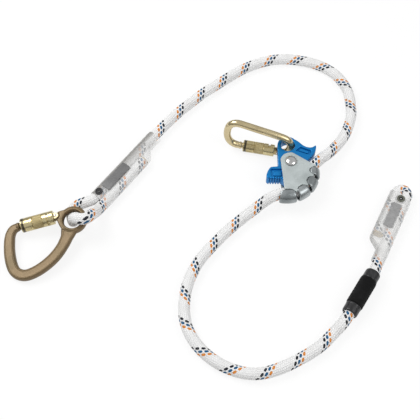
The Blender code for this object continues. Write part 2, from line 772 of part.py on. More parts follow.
def build_housing():
    """The two side plates. The rear one's fingers bend round the rope into the front one's rim."""
    rear = place(
        flat_shape(plate_outline(FINGER_BEND_RADIUS - PLATE_THICKNESS / 6), -BEND_OUTER, -BEND_INNER),
        "rear_plate",
        AXLE,
        PLATE_STEEL,
    )
    channel = bend_channel()
    for number, (low, high) in enumerate(FINGER_SPANS):
        outline = finger_outline(low, high, FINGER_BEND_RADIUS - PLATE_THICKNESS / 2, BEND_REACH)
        wedge = flat_shape(outline, -BEND_OUTER - OVERRUN, BEND_OUTER + OVERRUN)
        finger = cutter(channel.copy(), f"finger_{number + 1}", AXLE)
        span = cutter(wedge, f"finger_{number + 1}_span", AXLE)
        combine(finger, span, "INTERSECT")
        combine(rear, finger, "UNION")
    hole = AXLE_DIAMETER / 2 + RUNNING_GAP
    bore = cutter(cylinder(hole, -BEND_OUTER * 2, BEND_OUTER * 2), "plate_bore", AXLE)
    combine(rear, bore, "DIFFERENCE")

    front = place(
        flat_shape(plate_outline(PLATE_RIM_RADIUS), BEND_INNER, BEND_OUTER),
        "front_plate",
        AXLE,
        PLATE_STEEL,
    )
    for number, (low, high) in enumerate(FINGER_SPANS):
        slack = math.degrees(FINGER_SLOT / FINGER_BEND_RADIUS)
        inner = FINGER_BEND_RADIUS - PLATE_THICKNESS / 2 - FINGER_SLOT
        reach = BEND_REACH + OVERRUN
        outline = finger_outline(low - slack, high + slack, inner, reach)
        notch = cutter(flat_shape(outline, 0, BEND_OUTER * 2), f"notch_{number + 1}", AXLE)
        combine(front, notch, "DIFFERENCE")
    combine(front, bore, "DIFFERENCE")
    bevel(front, PLATE_THICKNESS / 6, 1)


def build_axle():
    """The riveted axle with its two domed heads, and the bush that the cam turns on."""
    radius = AXLE_DIAMETER / 2
    head = AXLE_HEAD_DIAMETER / 2
    seat = BEND_OUTER + SEAT_GAP / 3
    dome_angles = np.linspace(math.radians(20), math.radians(90), 6)
    dome = [
        (head * math.cos(a) / math.cos(dome_angles[0]), AXLE_HEAD_HEIGHT * math.sin(a))
        for a in dome_angles[::-1]
    ]
    top = [(r if r > WELD else 0.0, seat + h) for r, h in dome]
    bottom = [(r, -h) for r, h in top[::-1]]
    profile = [*top, (head, seat), (radius, seat), (radius, -seat), (head, -seat), *bottom]
    place(turned(profile), "axle", AXLE, STEEL)
    inner = radius + RUNNING_GAP
    outer = inner + BUSH_WALL
    half = PLATE_GAP / 2 - SEAT_GAP
    profile = [(inner, half), (outer, half), (outer, -half), (inner, -half)]
    place(turned(profile), "cam_bush", AXLE, BRONZE_BUSH)


# The cam lever's outline round the axle, as shares of its height, anticlockwise. The eccentric jaw
# is worked out from the rope's bend instead.
CAM_HEIGHT = 0.075
CAM_EYE_SHARE = (-0.0387, 0.3960)
EYE_PLACE = tuple(axle + share * CAM_HEIGHT for axle, share in zip(AXLE_PLACE, CAM_EYE_SHARE))
CAM_HORN_SHARES = [
    (0.363, 0.104),
    (0.440, 0.185),
    (0.490, 0.275),
    (0.508, 0.409),
    (0.436, 0.357),
    (0.382, 0.343),
    (0.289, 0.369),
    (0.225, 0.425),
    (0.176, 0.480),
]
CAM_WEB_SHARES = [(-0.236, 0.300), (-0.236, 0.150), (-0.236, -0.030), (-0.239, -0.081)]
CAM_THUMB_SHARES = [
    (-0.385, -0.093),
    (-0.437, -0.173),
    (-0.471, -0.270),
    (-0.468, -0.330),
    (-0.430, -0.356),
    (-0.190, -0.352),
]
JAW_ANGLES = (math.radians(-104), math.radians(-22))
JAW_STEPS = 12
JAW_CLEARANCE = 0.0030
HORN_RECESS_SHARES = [(0.200, 0.360), (0.405, 0.272), (0.365, 0.180), (0.110, 0.275)]
HORN_ISLAND_SHARES = [(0.205, 0.328), (0.360, 0.262), (0.340, 0.215), (0.150, 0.278)]
THUMB_RECESS_SHARES = [(-0.385, -0.140), (-0.170, -0.140), (-0.170, -0.305), (-0.375, -0.305)]
THUMB_ISLAND_SHARES = [(-0.340, -0.190), (-0.185, -0.190), (-0.185, -0.285), (-0.335, -0.285)]
RECESS_DEPTH = 0.0030
ISLAND_HEIGHT = 0.0018
RIB_DEPTH = 0.0020
RIB_PITCH = 0.0036
RIB_WIDTH = 0.0013
RIB_COUNT = 5


def rope_distance(angle):
    """How far the rope's inner side lies from the axle in one direction."""
    dx, dy = AXLE_PLACE[0] - ROPE_BEND_CENTRE[0], AXLE_PLACE[1] - ROPE_BEND_CENTRE[1]
    forward = dx * math.cos(angle) + dy * math.sin(angle)
    reach = ROPE_BEND_RADIUS - ROPE_DIAMETER / 2
    return -forward + math.sqrt(forward**2 + reach**2 - dx**2 - dy**2)


def cam_outline():
    """The whole lever: jaw, horn, web round the eye, and thumb block."""
    jaw = []
    for angle in np.linspace(JAW_ANGLES[0], JAW_ANGLES[1], JAW_STEPS):
        reach = rope_distance(angle + CAM_TURN) - JAW_CLEARANCE
        jaw.append((reach * math.cos(angle), reach * math.sin(angle)))
    horn = scaled_outline(CAM_HORN_SHARES, CAM_HEIGHT)
    eye = (EYE_PLACE[0] - AXLE_PLACE[0], EYE_PLACE[1] - AXLE_PLACE[1])
    boss = arc(eye, EYE_HOLE_DIAMETER / 2 + EYE_WALL, math.radians(50), math.radians(190), 12)
    web = scaled_outline(CAM_WEB_SHARES, CAM_HEIGHT)
    thumb = scaled_outline(CAM_THUMB_SHARES, CAM_HEIGHT)
    return [*jaw, *horn, *boss, *web, *thumb]


def build_cam():
    """The blue cam lever: eye, horn and thumb block outside the plates, eccentric jaw inside."""
    half = CAM_THICKNESS / 2
    cam = place(flat_shape(cam_outline(), -half, half), "cam_lever", AXLE, BLUE)
    bevel(cam, CAM_THICKNESS / 16, 2, math.radians(50))
    bore_radius = AXLE_DIAMETER / 2 + RUNNING_GAP * 2 + BUSH_WALL
    bore = cutter(cylinder(bore_radius, -half * 2, half * 2), "cam_bore", AXLE)
    combine(cam, bore, "DIFFERENCE")
    eye = (EYE_PLACE[0] - AXLE_PLACE[0], EYE_PLACE[1] - AXLE_PLACE[1])
    hole_radius = EYE_HOLE_DIAMETER / 2
    flare = hole_radius + CAM_THICKNESS / 10
    profile = [
        (0, half + OVERRUN),
        (flare + OVERRUN, half + OVERRUN),
        (hole_radius, half - CAM_THICKNESS / 10),
        (hole_radius, -half + CAM_THICKNESS / 10),
        (flare + OVERRUN, -half - OVERRUN),
        (0, -half - OVERRUN),
    ]
    mesh = turned(profile)
    mesh.transform(Matrix.Translation((*eye, 0)))
    combine(cam, cutter(mesh, "cam_eye", AXLE), "DIFFERENCE")
    floor = half - RECESS_DEPTH
    for name, recess_shares, island_shares in (
        ("horn", HORN_RECESS_SHARES, HORN_ISLAND_SHARES),
        ("thumb", THUMB_RECESS_SHARES, THUMB_ISLAND_SHARES),
    ):
        sunk = flat_shape(scaled_outline(recess_shares, CAM_HEIGHT), floor, half + OVERRUN)
        recess = cutter(sunk, f"{name}_recess", AXLE)
        raised = flat_shape(
            scaled_outline(island_shares, CAM_HEIGHT), floor - OVERRUN, floor + ISLAND_HEIGHT
        )
        combine(recess, cutter(raised, f"{name}_island", AXLE), "DIFFERENCE")
        combine(cam, recess, "DIFFERENCE")
    foot = CAM_THUMB_SHARES[4][1] * CAM_HEIGHT
    first = CAM_THUMB_SHARES[3][0] * CAM_HEIGHT + RIB_PITCH
    for number in range(RIB_COUNT):
        x = first + number * RIB_PITCH
        low = (x, foot - OVERRUN, -half - OVERRUN)
        high = (x + RIB_WIDTH, foot + RIB_DEPTH, half + OVERRUN)
        combine(cam, cutter(box(low, high), f"thumb_rib_gap_{number + 1}", AXLE), "DIFFERENCE")


# Both carabiners' gates are made alike in a frame of their own: the origin on the hinge pin, X along
# the gate to the nose, Y to the inside of the loop, Z along the pin
FORK_SHARE = 1.04
TONGUE_SHARE = 0.90
PIN_SHARE = 0.32
PLUNGER_SHARE = 0.44
NOSE_GAP = 0.0004
KEY_THICKNESS_SHARE = 0.60
KEY_DEPTH = 0.0008
SPRING_TURNS = 4
SPRING_WIRE = 0.0006


def helix(low, high, radius, turns):
    """Points of a coil spring along X, eight to a turn."""
    points = []
    for step in range(turns * 8 + 1):
        share = step / (turns * 8)
        angle = 2 * math.pi * turns * share
        points.append((low + (high - low) * share, radius * math.cos(angle), radius * math.sin(angle)))
    return points


def along_x(mesh):
    """Turns a solid made along Z to lie along X."""
    mesh.transform(Matrix.Rotation(math.pi / 2, 4, "Y"))
    return mesh


class Gate:
    """The sizes that one carabiner's gate pieces share."""

    def __init__(self, name, frame, rod, length, barrel, barrel_start, barrel_end, finish):
        self.name = name
        self.frame = frame
        self.rod = rod
        self.length = length
        self.barrel = barrel
        self.barrel_start = barrel_start
        self.barrel_end = barrel_end
        self.finish = finish
        self.fork = rod * FORK_SHARE
        self.tongue = rod * TONGUE_SHARE
        self.pin = rod * PIN_SHARE
        self.plunger = rod * PLUNGER_SHARE
        self.tongue_half = rod * TONGUE_SHARE / 2
        self.bore_end = length * 0.46


def flat_point(share, span):
    """One point in a carabiner's plane from its share of the span."""
    return Vector((share[0] * span, share[1] * span, 0))


def build_gate(gate):
    """The rod: forked round the frame's tongue, bored for its spring, slotted for the nose key."""
    outline = arc((0, 0), gate.fork, math.pi / 2, math.pi * 3 / 2, 9)
    wide = gate.rod * FORK_SHARE * FORK_SHARE
    outline = [(x, y * FORK_SHARE) for x, y in outline]
    outline += [(gate.length, -wide), (gate.length, wide)]
    blank = cylinder(gate.rod, -gate.fork - OVERRUN, gate.length + OVERRUN, 24)
    rod = place(along_x(blank), f"{gate.name}_gate", gate.frame, gate.finish)
    ends = flat_shape(outline, -gate.rod * 2, gate.rod * 2)
    combine(rod, cutter(ends, f"{gate.name}_gate_end_round", gate.frame), "INTERSECT")
    slot_end = gate.fork + SEAT_GAP
    half = gate.tongue_half + RUNNING_GAP
    slot = box((-gate.rod * 2, -gate.rod * 2, -half), (slot_end, gate.rod * 2, half))
    combine(rod, cutter(slot, f"{gate.name}_fork_slot", gate.frame), "DIFFERENCE")
    hole = cylinder(gate.pin + RUNNING_GAP / 2, -gate.rod * 2, gate.rod * 2, 16)
    combine(rod, cutter(hole, f"{gate.name}_pin_hole", gate.frame), "DIFFERENCE")
    bore = along_x(cylinder(gate.plunger + RUNNING_GAP, 0, gate.bore_end, 16))
    combine(rod, cutter(bore, f"{gate.name}_spring_bore", gate.frame), "DIFFERENCE")
    key_half = gate.rod * KEY_THICKNESS_SHARE / 2 + RUNNING_GAP
    low = (gate.length - KEY_DEPTH - NOSE_GAP, -gate.rod * 2, -key_half)
    high = (gate.length + OVERRUN, gate.rod * KEY_THICKNESS_SHARE, key_half)
    combine(rod, cutter(box(low, high), f"{gate.name}_key_slot", gate.frame), "DIFFERENCE")


def build_gate_inside(gate):
    """The hinge pin, and the plunger and spring that close the gate."""
    end = math.sqrt(gate.rod**2 - gate.pin**2) - SEAT_GAP
    edge = gate.pin / 4
    profile = [
        (0, end), (gate.pin - edge, end), (gate.pin, end - edge), (gate.pin, -end + edge),
        (gate.pin - edge, -end), (0, -end),
    ]
    pin = turned(profile, 16)
    place(pin, f"{gate.name}_gate_pin", gate.frame, STEEL)
    tip = gate.tongue + SEAT_GAP
    body_end = tip + gate.plunger * 2.6
    profile = [
        (0, body_end), (gate.plunger, body_end), (gate.plunger, tip + gate.plunger * 0.6),
        (gate.plunger * 0.5, tip), (0, tip),
    ]
    place(along_x(turned(profile, 16)), f"{gate.name}_gate_plunger", gate.frame, STEEL)
    wire = SPRING_WIRE / 2
    low, high = body_end + SEAT_GAP + wire, gate.bore_end - SEAT_GAP - wire
    coil = helix(low, high, gate.plunger - wire, SPRING_TURNS)
    place(tube(coil, wire, 1), f"{gate.name}_gate_spring", gate.frame, STEEL)


SLEEVE_STEP = 0.0006
SLOT_WIDTH = 0.0032
GUIDE_PIN_RADIUS = 0.0013
SPRING_ROOM = 0.0016


def build_lock_sleeve(gate):
    """The twist-lock barrel: two glossy ends with slots, a knurled band, room for its spring."""
    outer = gate.barrel / 2
    inner = gate.rod + RUNNING_GAP
    start, end = gate.barrel_start, gate.barrel_end
    reach = end - start
    band = (start + reach * 0.34, start + reach * 0.64)
    edge = SLEEVE_STEP
    room = (start + reach * 0.36, end - reach * 0.12)
    wide = inner + SPRING_ROOM
    profile = [
        (inner, end), (outer - edge, end), (outer, end - edge), (outer, band[1]),
        (outer - edge / 2, band[1] - edge), (outer - edge / 2, band[0] + edge), (outer, band[0]),
        (outer, start + edge), (outer - edge, start), (inner, start),
        (inner, room[0]), (wide, room[0] + edge), (wide, room[1]), (inner, room[1]),
    ]
    barrel = place(along_x(turned(profile, FINE_STEPS)), f"{gate.name}_lock_sleeve", gate.frame,
                   gate.finish)
    slot_x = start + reach * 0.17
    quarter = math.radians(118)
    groove = [
        (inner - edge, slot_x - SLOT_WIDTH / 2),
        (outer * 1.2, slot_x - SLOT_WIDTH / 2),
        (outer * 1.2, slot_x + SLOT_WIDTH / 2),
        (inner - edge, slot_x + SLOT_WIDTH / 2),
    ]
    ring = cutter(along_x(turned(groove[::-1])), f"{gate.name}_slot_ring", gate.frame)
    reach_out = outer * 2
    start_angle = math.radians(-14)
    wedge_shape = [(0, 0)] + [
        (reach_out * math.cos(a), reach_out * math.sin(a))
        for a in np.linspace(start_angle, start_angle + quarter, 5)
    ]
    wedge_mesh = flat_shape(wedge_shape, slot_x - SLOT_WIDTH, slot_x + SLOT_WIDTH)
    upright = Matrix(((0, 0, 1, 0), (0, 1, 0, 0), (-1, 0, 0, 0), (0, 0, 0, 1)))
    wedge_mesh.transform(Matrix.Rotation(math.pi, 4, "X") @ upright)
    combine(ring, cutter(wedge_mesh, f"{gate.name}_slot_span", gate.frame), "INTERSECT")
    combine(barrel, ring, "DIFFERENCE")
    notch_depth = reach * 0.30
    notch_half = outer * 0.17
    low = (end - notch_depth, -notch_half, outer - edge * 2)
    high = (end + OVERRUN, notch_half, outer + OVERRUN)
    flute = box(low, high)
    for number, turn in enumerate((-24, 24, 96, -96, 180)):
        cut = flute.copy()
        cut.transform(Matrix.Rotation(math.radians(turn), 4, "X"))
        combine(barrel, cutter(cut, f"{gate.name}_flute_{number + 1}", gate.frame), "DIFFERENCE")
    pin = cylinder(GUIDE_PIN_RADIUS, gate.rod + SEAT_GAP, outer - edge, 12)
    pin.transform(Matrix.Translation((slot_x, 0, 0)))
    place(pin, f"{gate.name}_guide_pin", gate.frame, STEEL)
    wire = SPRING_WIRE / 2
    low, high = room[0] + edge * 2 + wire, room[1] - SEAT_GAP - wire
    coil = helix(low, high, inner + SPRING_ROOM / 2, SPRING_TURNS)
    place(tube(coil, wire, 1), f"{gate.name}_sleeve_spring", gate.frame, STEEL)


def nose_and_tongue(gate, frame_object, shoulder_depth):
    """Adds the frame's hinge tongue and its nose with the key, in the gate's frame."""
    half = gate.tongue_half
    tongue = arc((0, 0), gate.tongue, math.pi / 2, -math.pi / 2, 9)
    tongue += [(-shoulder_depth, -gate.tongue), (-shoulder_depth, gate.tongue)]
    combine(frame_object, cutter(flat_shape(tongue[::-1], -half, half), f"{gate.name}_tongue",
                                 gate.frame), "UNION")
    hole = cylinder(gate.pin + RUNNING_GAP / 2, -gate.rod * 2, gate.rod * 2, 16)
    combine(frame_object, cutter(hole, f"{gate.name}_tongue_hole", gate.frame), "DIFFERENCE")
    face = gate.length + NOSE_GAP
    collar = gate.rod * 1.16
    profile = [
        (0, face + gate.rod * 0.9), (collar * 0.9, face + gate.rod * 0.9),
        (collar, face + gate.rod * 0.7), (collar, face + gate.rod * 0.25), (gate.rod * 0.9, face),
        (0, face),
    ]
    combine(frame_object, cutter(along_x(turned(profile, 24)), f"{gate.name}_nose", gate.frame), "UNION")
    key_half = gate.rod * KEY_THICKNESS_SHARE / 2
    low = (gate.length - KEY_DEPTH, -gate.rod * 0.85, -key_half)
    high = (face + gate.rod * 0.5, gate.rod * KEY_THICKNESS_SHARE - SEAT_GAP, key_half)
    combine(frame_object, cutter(box(low, high), f"{gate.name}_nose_key", gate.frame), "UNION")


# The captive-eye carabiner: its plane leans on the rope under its ring
HOOK_SPAN = 0.100
RING_PLACE = (-0.1872, -0.0284, 0.0215)
RING_OUTER_RADIUS = 0.0196
RING_INNER_RADIUS = 0.0132
RING_THICKNESS = 0.0100
HOOK_LEAN = math.radians(8.5)
HOOK_LEAN_AXIS = (0.742, -0.671, 0.0)
HOOK_PATH_SHARES = [
    (-0.762, -0.070),
    (-0.818, -0.098),
    (-0.855, -0.165),
    (-0.864, -0.275),
    (-0.847, -0.440),
    (-0.805, -0.602),
    (-0.730, -0.728),
    (-0.617, -0.773),
    (-0.495, -0.743),
    (-0.345, -0.650),
    (-0.208, -0.515),
    (-0.112, -0.360),
    (-0.062, -0.225),
    (-0.045, -0.155),
]
HOOK_WIDTH_SHARES = [0.74, 0.86, 0.94, 1.0, 1.02, 1.04, 1.06, 1.06, 1.06, 1.06, 1.06, 1.04, 1.00, 0.9]
HOOK_PIN_ANGLE = math.radians(166.05)
HOOK_PIN_CLEARANCE = 0.0007
HOOK_GATE_CANT = math.radians(0.64)
HOOK_ROD_RADIUS = 0.0050
HOOK_BARREL_DIAMETER = 0.0196
HOOK_BARREL_START = 0.0022
HOOK_BARREL_SETBACK = 0.0019
HOOK_NOSE_SETBACK = 0.0030

# The hinge pin stands clear of the ring, and the lug's outline is in shares of the pin's reach
HOOK_PIN_REACH = RING_OUTER_RADIUS + HOOK_ROD_RADIUS * FORK_SHARE + HOOK_PIN_CLEARANCE
HOOK_LUG_SHARES = [
    (-1.027, 0.423),
    (-0.784, 0.502),
    (-0.471, 0.569),
    (-0.157, 0.549),
    (-0.431, -0.314),
    (-0.353, -0.627),
    (-0.549, -0.569),
    (-0.698, -0.333),
    (-0.808, -0.118),
    (-1.008, 0.020),
]


def build_hook():
    """The captive-eye carabiner: forged frame with its ring and lug, gate and lock sleeve."""
    lean = Matrix.Rotation(HOOK_LEAN, 4, Vector(HOOK_LEAN_AXIS))
    plane = empty("hook_place", LANYARD, Matrix.Translation(RING_PLACE) @ lean)
    pin = flat_point((math.cos(HOOK_PIN_ANGLE), math.sin(HOOK_PIN_ANGLE)), HOOK_PIN_REACH)
    to_nose = flat_point(HOOK_PATH_SHARES[0], HOOK_SPAN) - pin
    heading = math.atan2(to_nose.y, to_nose.x) - HOOK_GATE_CANT
    turn = Matrix.Translation(pin) @ Matrix.Rotation(heading, 4, "Z")
    gate_place = empty("hook_gate_place", plane, turn)
    rod = HOOK_ROD_RADIUS
    start = HOOK_BARREL_START
    length = to_nose.length - HOOK_NOSE_SETBACK
    gate = Gate(
        "hook", gate_place, rod, length, HOOK_BARREL_DIAMETER, start,
        length - HOOK_BARREL_SETBACK, BRONZE,
    )
    line = smooth_line([(x, y, 0) for x, y in scaled_outline(HOOK_PATH_SHARES, HOOK_SPAN)], 3)
    shares = np.interp(
        np.linspace(0, 1, len(line)), np.linspace(0, 1, len(HOOK_WIDTH_SHARES)), HOOK_WIDTH_SHARES
    )
    arm = tube(line, LARGE_WIRE_WIDTH / 2, 4, shares)
    flatten = LARGE_WIRE_THICKNESS / LARGE_WIRE_WIDTH
    arm.transform(Matrix.Diagonal((1, 1, flatten, 1)))
    frame = place(arm, "hook_frame", plane, BRONZE)
    half = RING_THICKNESS / 2
    wall = RING_OUTER_RADIUS - RING_INNER_RADIUS
    profile = [
        (RING_INNER_RADIUS + wall * 0.3, half), (RING_OUTER_RADIUS - wall * 0.3, half),
        (RING_OUTER_RADIUS, half * 0.55), (RING_OUTER_RADIUS, -half * 0.55),
        (RING_OUTER_RADIUS - wall * 0.3, -half), (RING_INNER_RADIUS + wall * 0.3, -half),
        (RING_INNER_RADIUS, -half * 0.55), (RING_INNER_RADIUS, half * 0.55),
    ]
    ring = cutter(turned(profile, FINE_STEPS), "hook_ring", plane)
    combine(frame, ring, "UNION")
    lug = cutter(flat_shape(scaled_outline(HOOK_LUG_SHARES, HOOK_PIN_REACH), -half * 0.96, half * 0.96),
                 "hook_lug", plane)
    clear = cylinder(gate.fork + SEAT_GAP * 2, -half * 2, half * 2, 24)
    combine(lug, cutter(clear, "hook_lug_clearance", gate_place), "DIFFERENCE")
    reach = HOOK_BARREL_DIAMETER * 0.6
    inside = box((-gate.fork * 0.6, gate.tongue + SEAT_GAP / 2, -reach), (reach, reach * 1.5, reach))
    combine(lug, cutter(inside, "hook_lug_swing_room", gate_place), "DIFFERENCE")
    outside = box((start - SEAT_GAP, -reach * 1.5, -reach), (reach, -gate.tongue, reach))
    combine(lug, cutter(outside, "hook_lug_barrel_room", gate_place), "DIFFERENCE")
    combine(frame, lug, "UNION")
    eye = cutter(cylinder(RING_INNER_RADIUS + WELD, -half * 2, half * 2, FINE_STEPS), "hook_eye", plane)
    combine(frame, eye, "DIFFERENCE")
    nose_and_tongue(gate, frame, gate.fork + SEAT_GAP * 8)
    build_gate(gate)
    build_gate_inside(gate)
    build_lock_sleeve(gate)


# The small offset-D carabiner stands on its gate, through the cam's eye
OVAL_SPAN = 0.100
OVAL_HEADING = math.radians(-11.4)
OVAL_LEAN = math.radians(-4.5)
OVAL_EYE_SHARE = 0.9145
OVAL_OFFSET = 0.0012
OVAL_PATH_SHARES = [
    (0.225, 0.000),
    (0.180, 0.003),
    (0.110, 0.030),
    (0.055, 0.095),
    (0.028, 0.200),
    (0.034, 0.320),
    (0.076, 0.425),
    (0.150, 0.468),
    (0.250, 0.460),
    (0.540, 0.392),
    (0.820, 0.322),
    (0.905, 0.280),
    (0.950, 0.190),
    (0.940, 0.090),
    (0.895, 0.020),
    (0.845, 0.000),
]
OVAL_PIN_SHARE = (0.785, 0.000)
OVAL_ROD_RADIUS = 0.0046
OVAL_BARREL_START = 0.0054
OVAL_BARREL_SETBACK = 0.0020
OVAL_NOSE_SETBACK = 0.0029


def build_oval():
    """The small carabiner: bent wire frame, gate and lock sleeve, hung in the cam's eye."""
    heading = Matrix.Rotation(OVAL_HEADING, 4, "Z")
    upright = Matrix(((1, 0, 0, 0), (0, 0, -1, 0), (0, 1, 0, 0), (0, 0, 0, 1)))
    lean = Matrix.Rotation(OVAL_LEAN, 4, "X")
    eye = Matrix.Translation((EYE_PLACE[0], EYE_PLACE[1], SMALL_GATE_HEIGHT))
    swing = empty("oval_swing_place", LANYARD, eye)
    back = Matrix.Translation((-OVAL_EYE_SHARE * OVAL_SPAN, OVAL_OFFSET, 0))
    plane = empty("oval_place", swing, heading @ back @ lean @ upright)
    pin = flat_point(OVAL_PIN_SHARE, OVAL_SPAN)
    turn = Matrix(((-1, 0, 0, pin.x), (0, 1, 0, pin.y), (0, 0, -1, 0), (0, 0, 0, 1)))
    gate_place = empty("oval_gate_place", plane, turn)
    rod = OVAL_ROD_RADIUS
    start = OVAL_BARREL_START
    length = (flat_point(OVAL_PATH_SHARES[0], OVAL_SPAN) - pin).length - OVAL_NOSE_SETBACK
    gate = Gate(
        "oval", gate_place, rod, length, BARREL_DIAMETER, start,
        length - OVAL_BARREL_SETBACK, PALE_GOLD,
    )
    line = smooth_line([(x, y, 0) for x, y in scaled_outline(OVAL_PATH_SHARES, OVAL_SPAN)], 2)
    frame = place(tube(line, SMALL_WIRE_DIAMETER / 2, 4), "oval_frame", plane, PALE_GOLD)
    clear = cylinder(gate.fork + SEAT_GAP * 2, -rod * 3, rod * 3, 24)
    combine(frame, cutter(clear, "oval_lug_clearance", gate_place), "DIFFERENCE")
    nose_and_tongue(gate, frame, gate.fork + SEAT_GAP * 8)
    build_gate(gate)
    build_gate_inside(gate)
    build_lock_sleeve(gate)


ROPE_NODE_STARTS = ("rope", "eye", "end", "grip")


def centre_origin():
    """Moves the whole lanyard so that the origin is under the middle of the metal pieces."""
    bpy.context.view_layer.update()
    graph = bpy.context.evaluated_depsgraph_get()
    corners = []
    for part in PARTS.objects:
        if part.type == "MESH" and not part.name.startswith(ROPE_NODE_STARTS):
            solid = part.evaluated_get(graph)
            mesh = solid.to_mesh()
            corners += [part.matrix_world @ vertex.co for vertex in mesh.vertices]
            solid.to_mesh_clear()
    middle = [(min(c[axis] for c in corners) + max(c[axis] for c in corners)) / 2 for axis in (0, 1)]
    LANYARD.location = (-middle[0], -middle[1], -min(c.z for c in corners))


build_rope()
build_grip()
build_terminations()
build_housing()
build_axle()
build_cam()
build_hook()
build_oval()
centre_origin()
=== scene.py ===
"""Looks of a tree climbing lanyard: braided rope, rope adjuster, two locking carabiners, clear
sleeves and a grip."""

import json
import math

import bpy
import numpy as np
from mathutils import Matrix, Vector
from mathutils.geometry import tessellate_polygon


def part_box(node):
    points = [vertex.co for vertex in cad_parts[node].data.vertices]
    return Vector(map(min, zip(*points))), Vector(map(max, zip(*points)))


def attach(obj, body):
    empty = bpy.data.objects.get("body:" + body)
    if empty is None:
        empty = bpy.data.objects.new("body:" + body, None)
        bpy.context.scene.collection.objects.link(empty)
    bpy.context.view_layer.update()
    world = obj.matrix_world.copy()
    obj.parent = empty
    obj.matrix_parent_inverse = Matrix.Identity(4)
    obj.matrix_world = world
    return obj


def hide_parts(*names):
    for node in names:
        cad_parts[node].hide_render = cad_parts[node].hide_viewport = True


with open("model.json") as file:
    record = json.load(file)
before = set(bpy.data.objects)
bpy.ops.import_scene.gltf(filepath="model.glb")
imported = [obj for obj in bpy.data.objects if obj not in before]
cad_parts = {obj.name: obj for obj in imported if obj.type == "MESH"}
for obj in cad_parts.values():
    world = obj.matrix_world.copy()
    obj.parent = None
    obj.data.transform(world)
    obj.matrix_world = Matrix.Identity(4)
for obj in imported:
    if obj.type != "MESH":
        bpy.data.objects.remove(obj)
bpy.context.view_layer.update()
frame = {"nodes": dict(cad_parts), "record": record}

# --------------------
# The photographer's table: the lanyard lies on a white sweep, seen from 60 degrees above. One
# broad soft box stands up and to the left and a weaker one to the right, under a white surround.
AXLE_ON_TABLE = (0.1142, 0.0602)
CAMERA_HEIGHT_ANGLE, CAMERA_REACH = math.radians(60), 1.146
CAMERA_LENS, SENSOR_WIDTH = 69.8, 36.0
SOFT_BOXES = {"left": ((-0.9, 0.5, 1.4), 0.9, 16), "right": ((1.1, -0.5, 1.2), 0.8, 6)}
HALF_TABLE = 3.0
SWEEP_WHITE, SWEEP_ROUGHNESS = (0.93, 0.93, 0.93), 0.9
SHADOW_LEFT = 0.84
DIM_BAND, SURROUND_LEVELS = (0.10, 0.55), (0.12, 0.70)

table_origin = np.mean(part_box("axle"), axis=0) - (*AXLE_ON_TABLE, 0)
table_origin[2] = 0


def on_table(points):
    """Places measured on the table, in metres, moved to the lanyard's own origin."""
    return np.asarray(points, float) + table_origin


class Value:
    """One output of a node. The plain signs of arithmetic make Math nodes of it."""

    def __init__(self, finish, socket):
        self.finish, self.socket = finish, socket

    def __add__(self, other):
        return self.finish.work("ADD", self, other)

    def __sub__(self, other):
        return self.finish.work("SUBTRACT", self, other)

    def __rsub__(self, other):
        return self.finish.work("SUBTRACT", other, self)

    def __mul__(self, other):
        return self.finish.work("MULTIPLY", self, other)

    def __truediv__(self, other):
        return self.finish.work("DIVIDE", self, other)

    def __mod__(self, other):
        return self.finish.work("FLOORED_MODULO", self, other)

    __radd__, __rmul__ = __add__, __mul__


class Finish:
    """One material's nodes, or the world's, with short ways to add them and join them."""

    def __init__(self, name, things=bpy.data.materials, shader="Principled BSDF"):
        self.material = things.new(name)
        self.material.use_nodes = True
        self.tree = self.material.node_tree
        self.shader = self.tree.nodes[shader]

    def put(self, item, socket):
        """A number or colour is set on the socket, and another node's value is linked to it."""
        if isinstance(item, Value):
            self.tree.links.new(item.socket, socket)
        elif item is not None:
            tuples = isinstance(item, tuple)
            socket.default_value = (*item, 1)[: len(socket.default_value)] if tuples else item

    def node(self, kind, output, items, **choices):
        """One node of a kind, with its choices made and its inputs, by name or number, filled."""
        node = self.tree.nodes.new("ShaderNode" + kind)
        for name, choice in choices.items():
            setattr(node, name, choice)
        for socket, item in items.items():
            self.put(item, node.inputs[socket])
        return Value(self, node.outputs[output])

    def work(self, operation, *items):
        """One Math node's operation on its items, in their order."""
        return self.node("Math", 0, dict(enumerate(items)), operation=operation)

    def blend(self, share, first, second, way="MIX"):
        """One colour mix of first and second."""
        items = {"Factor": share, "A": first, "B": second}
        return self.node("Mix", "Result", items, data_type="RGBA", blend_type=way)

    def place(self, uv=False):
        """A point's place in the piece's own space, or in its UV map."""
        if uv:
            return self.node("UVMap", "UV", {}, uv_map="UVMap")
        return self.node("TexCoord", "Object", {})

    def uv_part(self, axis):
        """How far a point is along its UV map's X or Y."""
        return self.node("SeparateXYZ", axis, {0: self.place(uv=True)})

    def grain(self, scale, detail=3.0, stretch=(1, 1, 1), uv=False):
        """Noise in the piece's own space or UV map, drawn out by stretch."""
        drawn = self.node("Mapping", "Vector", {"Scale": stretch, "Vector": self.place(uv)})
        return self.node("TexNoise", "Fac", {"Scale": scale, "Detail": detail, "Vector": drawn})

    def span(self, item, low, high, to_low=0.0, to_high=1.0):
        """Stretches a value's range, with a soft start and end."""
        ends = {"From Min": low, "From Max": high, "To Min": to_low, "To Max": to_high}
        soft = {"interpolation_type": "SMOOTHSTEP"}
        return self.node("MapRange", "Result", {"Value": item, **ends}, **soft)

    def relief(self, height, strength, distance):
        """A bump of a height, on the shader's normal."""
        items = {"Strength": strength, "Distance": distance, "Height": height}
        self.put(self.node("Bump", "Normal", items), self.shader.inputs["Normal"])

    def set(self, **sockets):
        """Shader sockets by name, with _ for a space."""
        for name, item in sockets.items():
            self.put(item, self.shader.inputs[name.replace("_", " ")])
        return self.material


def stand(name, data, place):
    """A lamp or camera at a place, turned so that its -Z looks at the middle of the table."""
    thing = bpy.data.objects.new(name, data)
    scene.collection.objects.link(thing)
    thing.location = place
    look = Vector(table_origin) - thing.location
    thing.rotation_euler = look.to_track_quat("-Z", "Y").to_euler()
    return thing


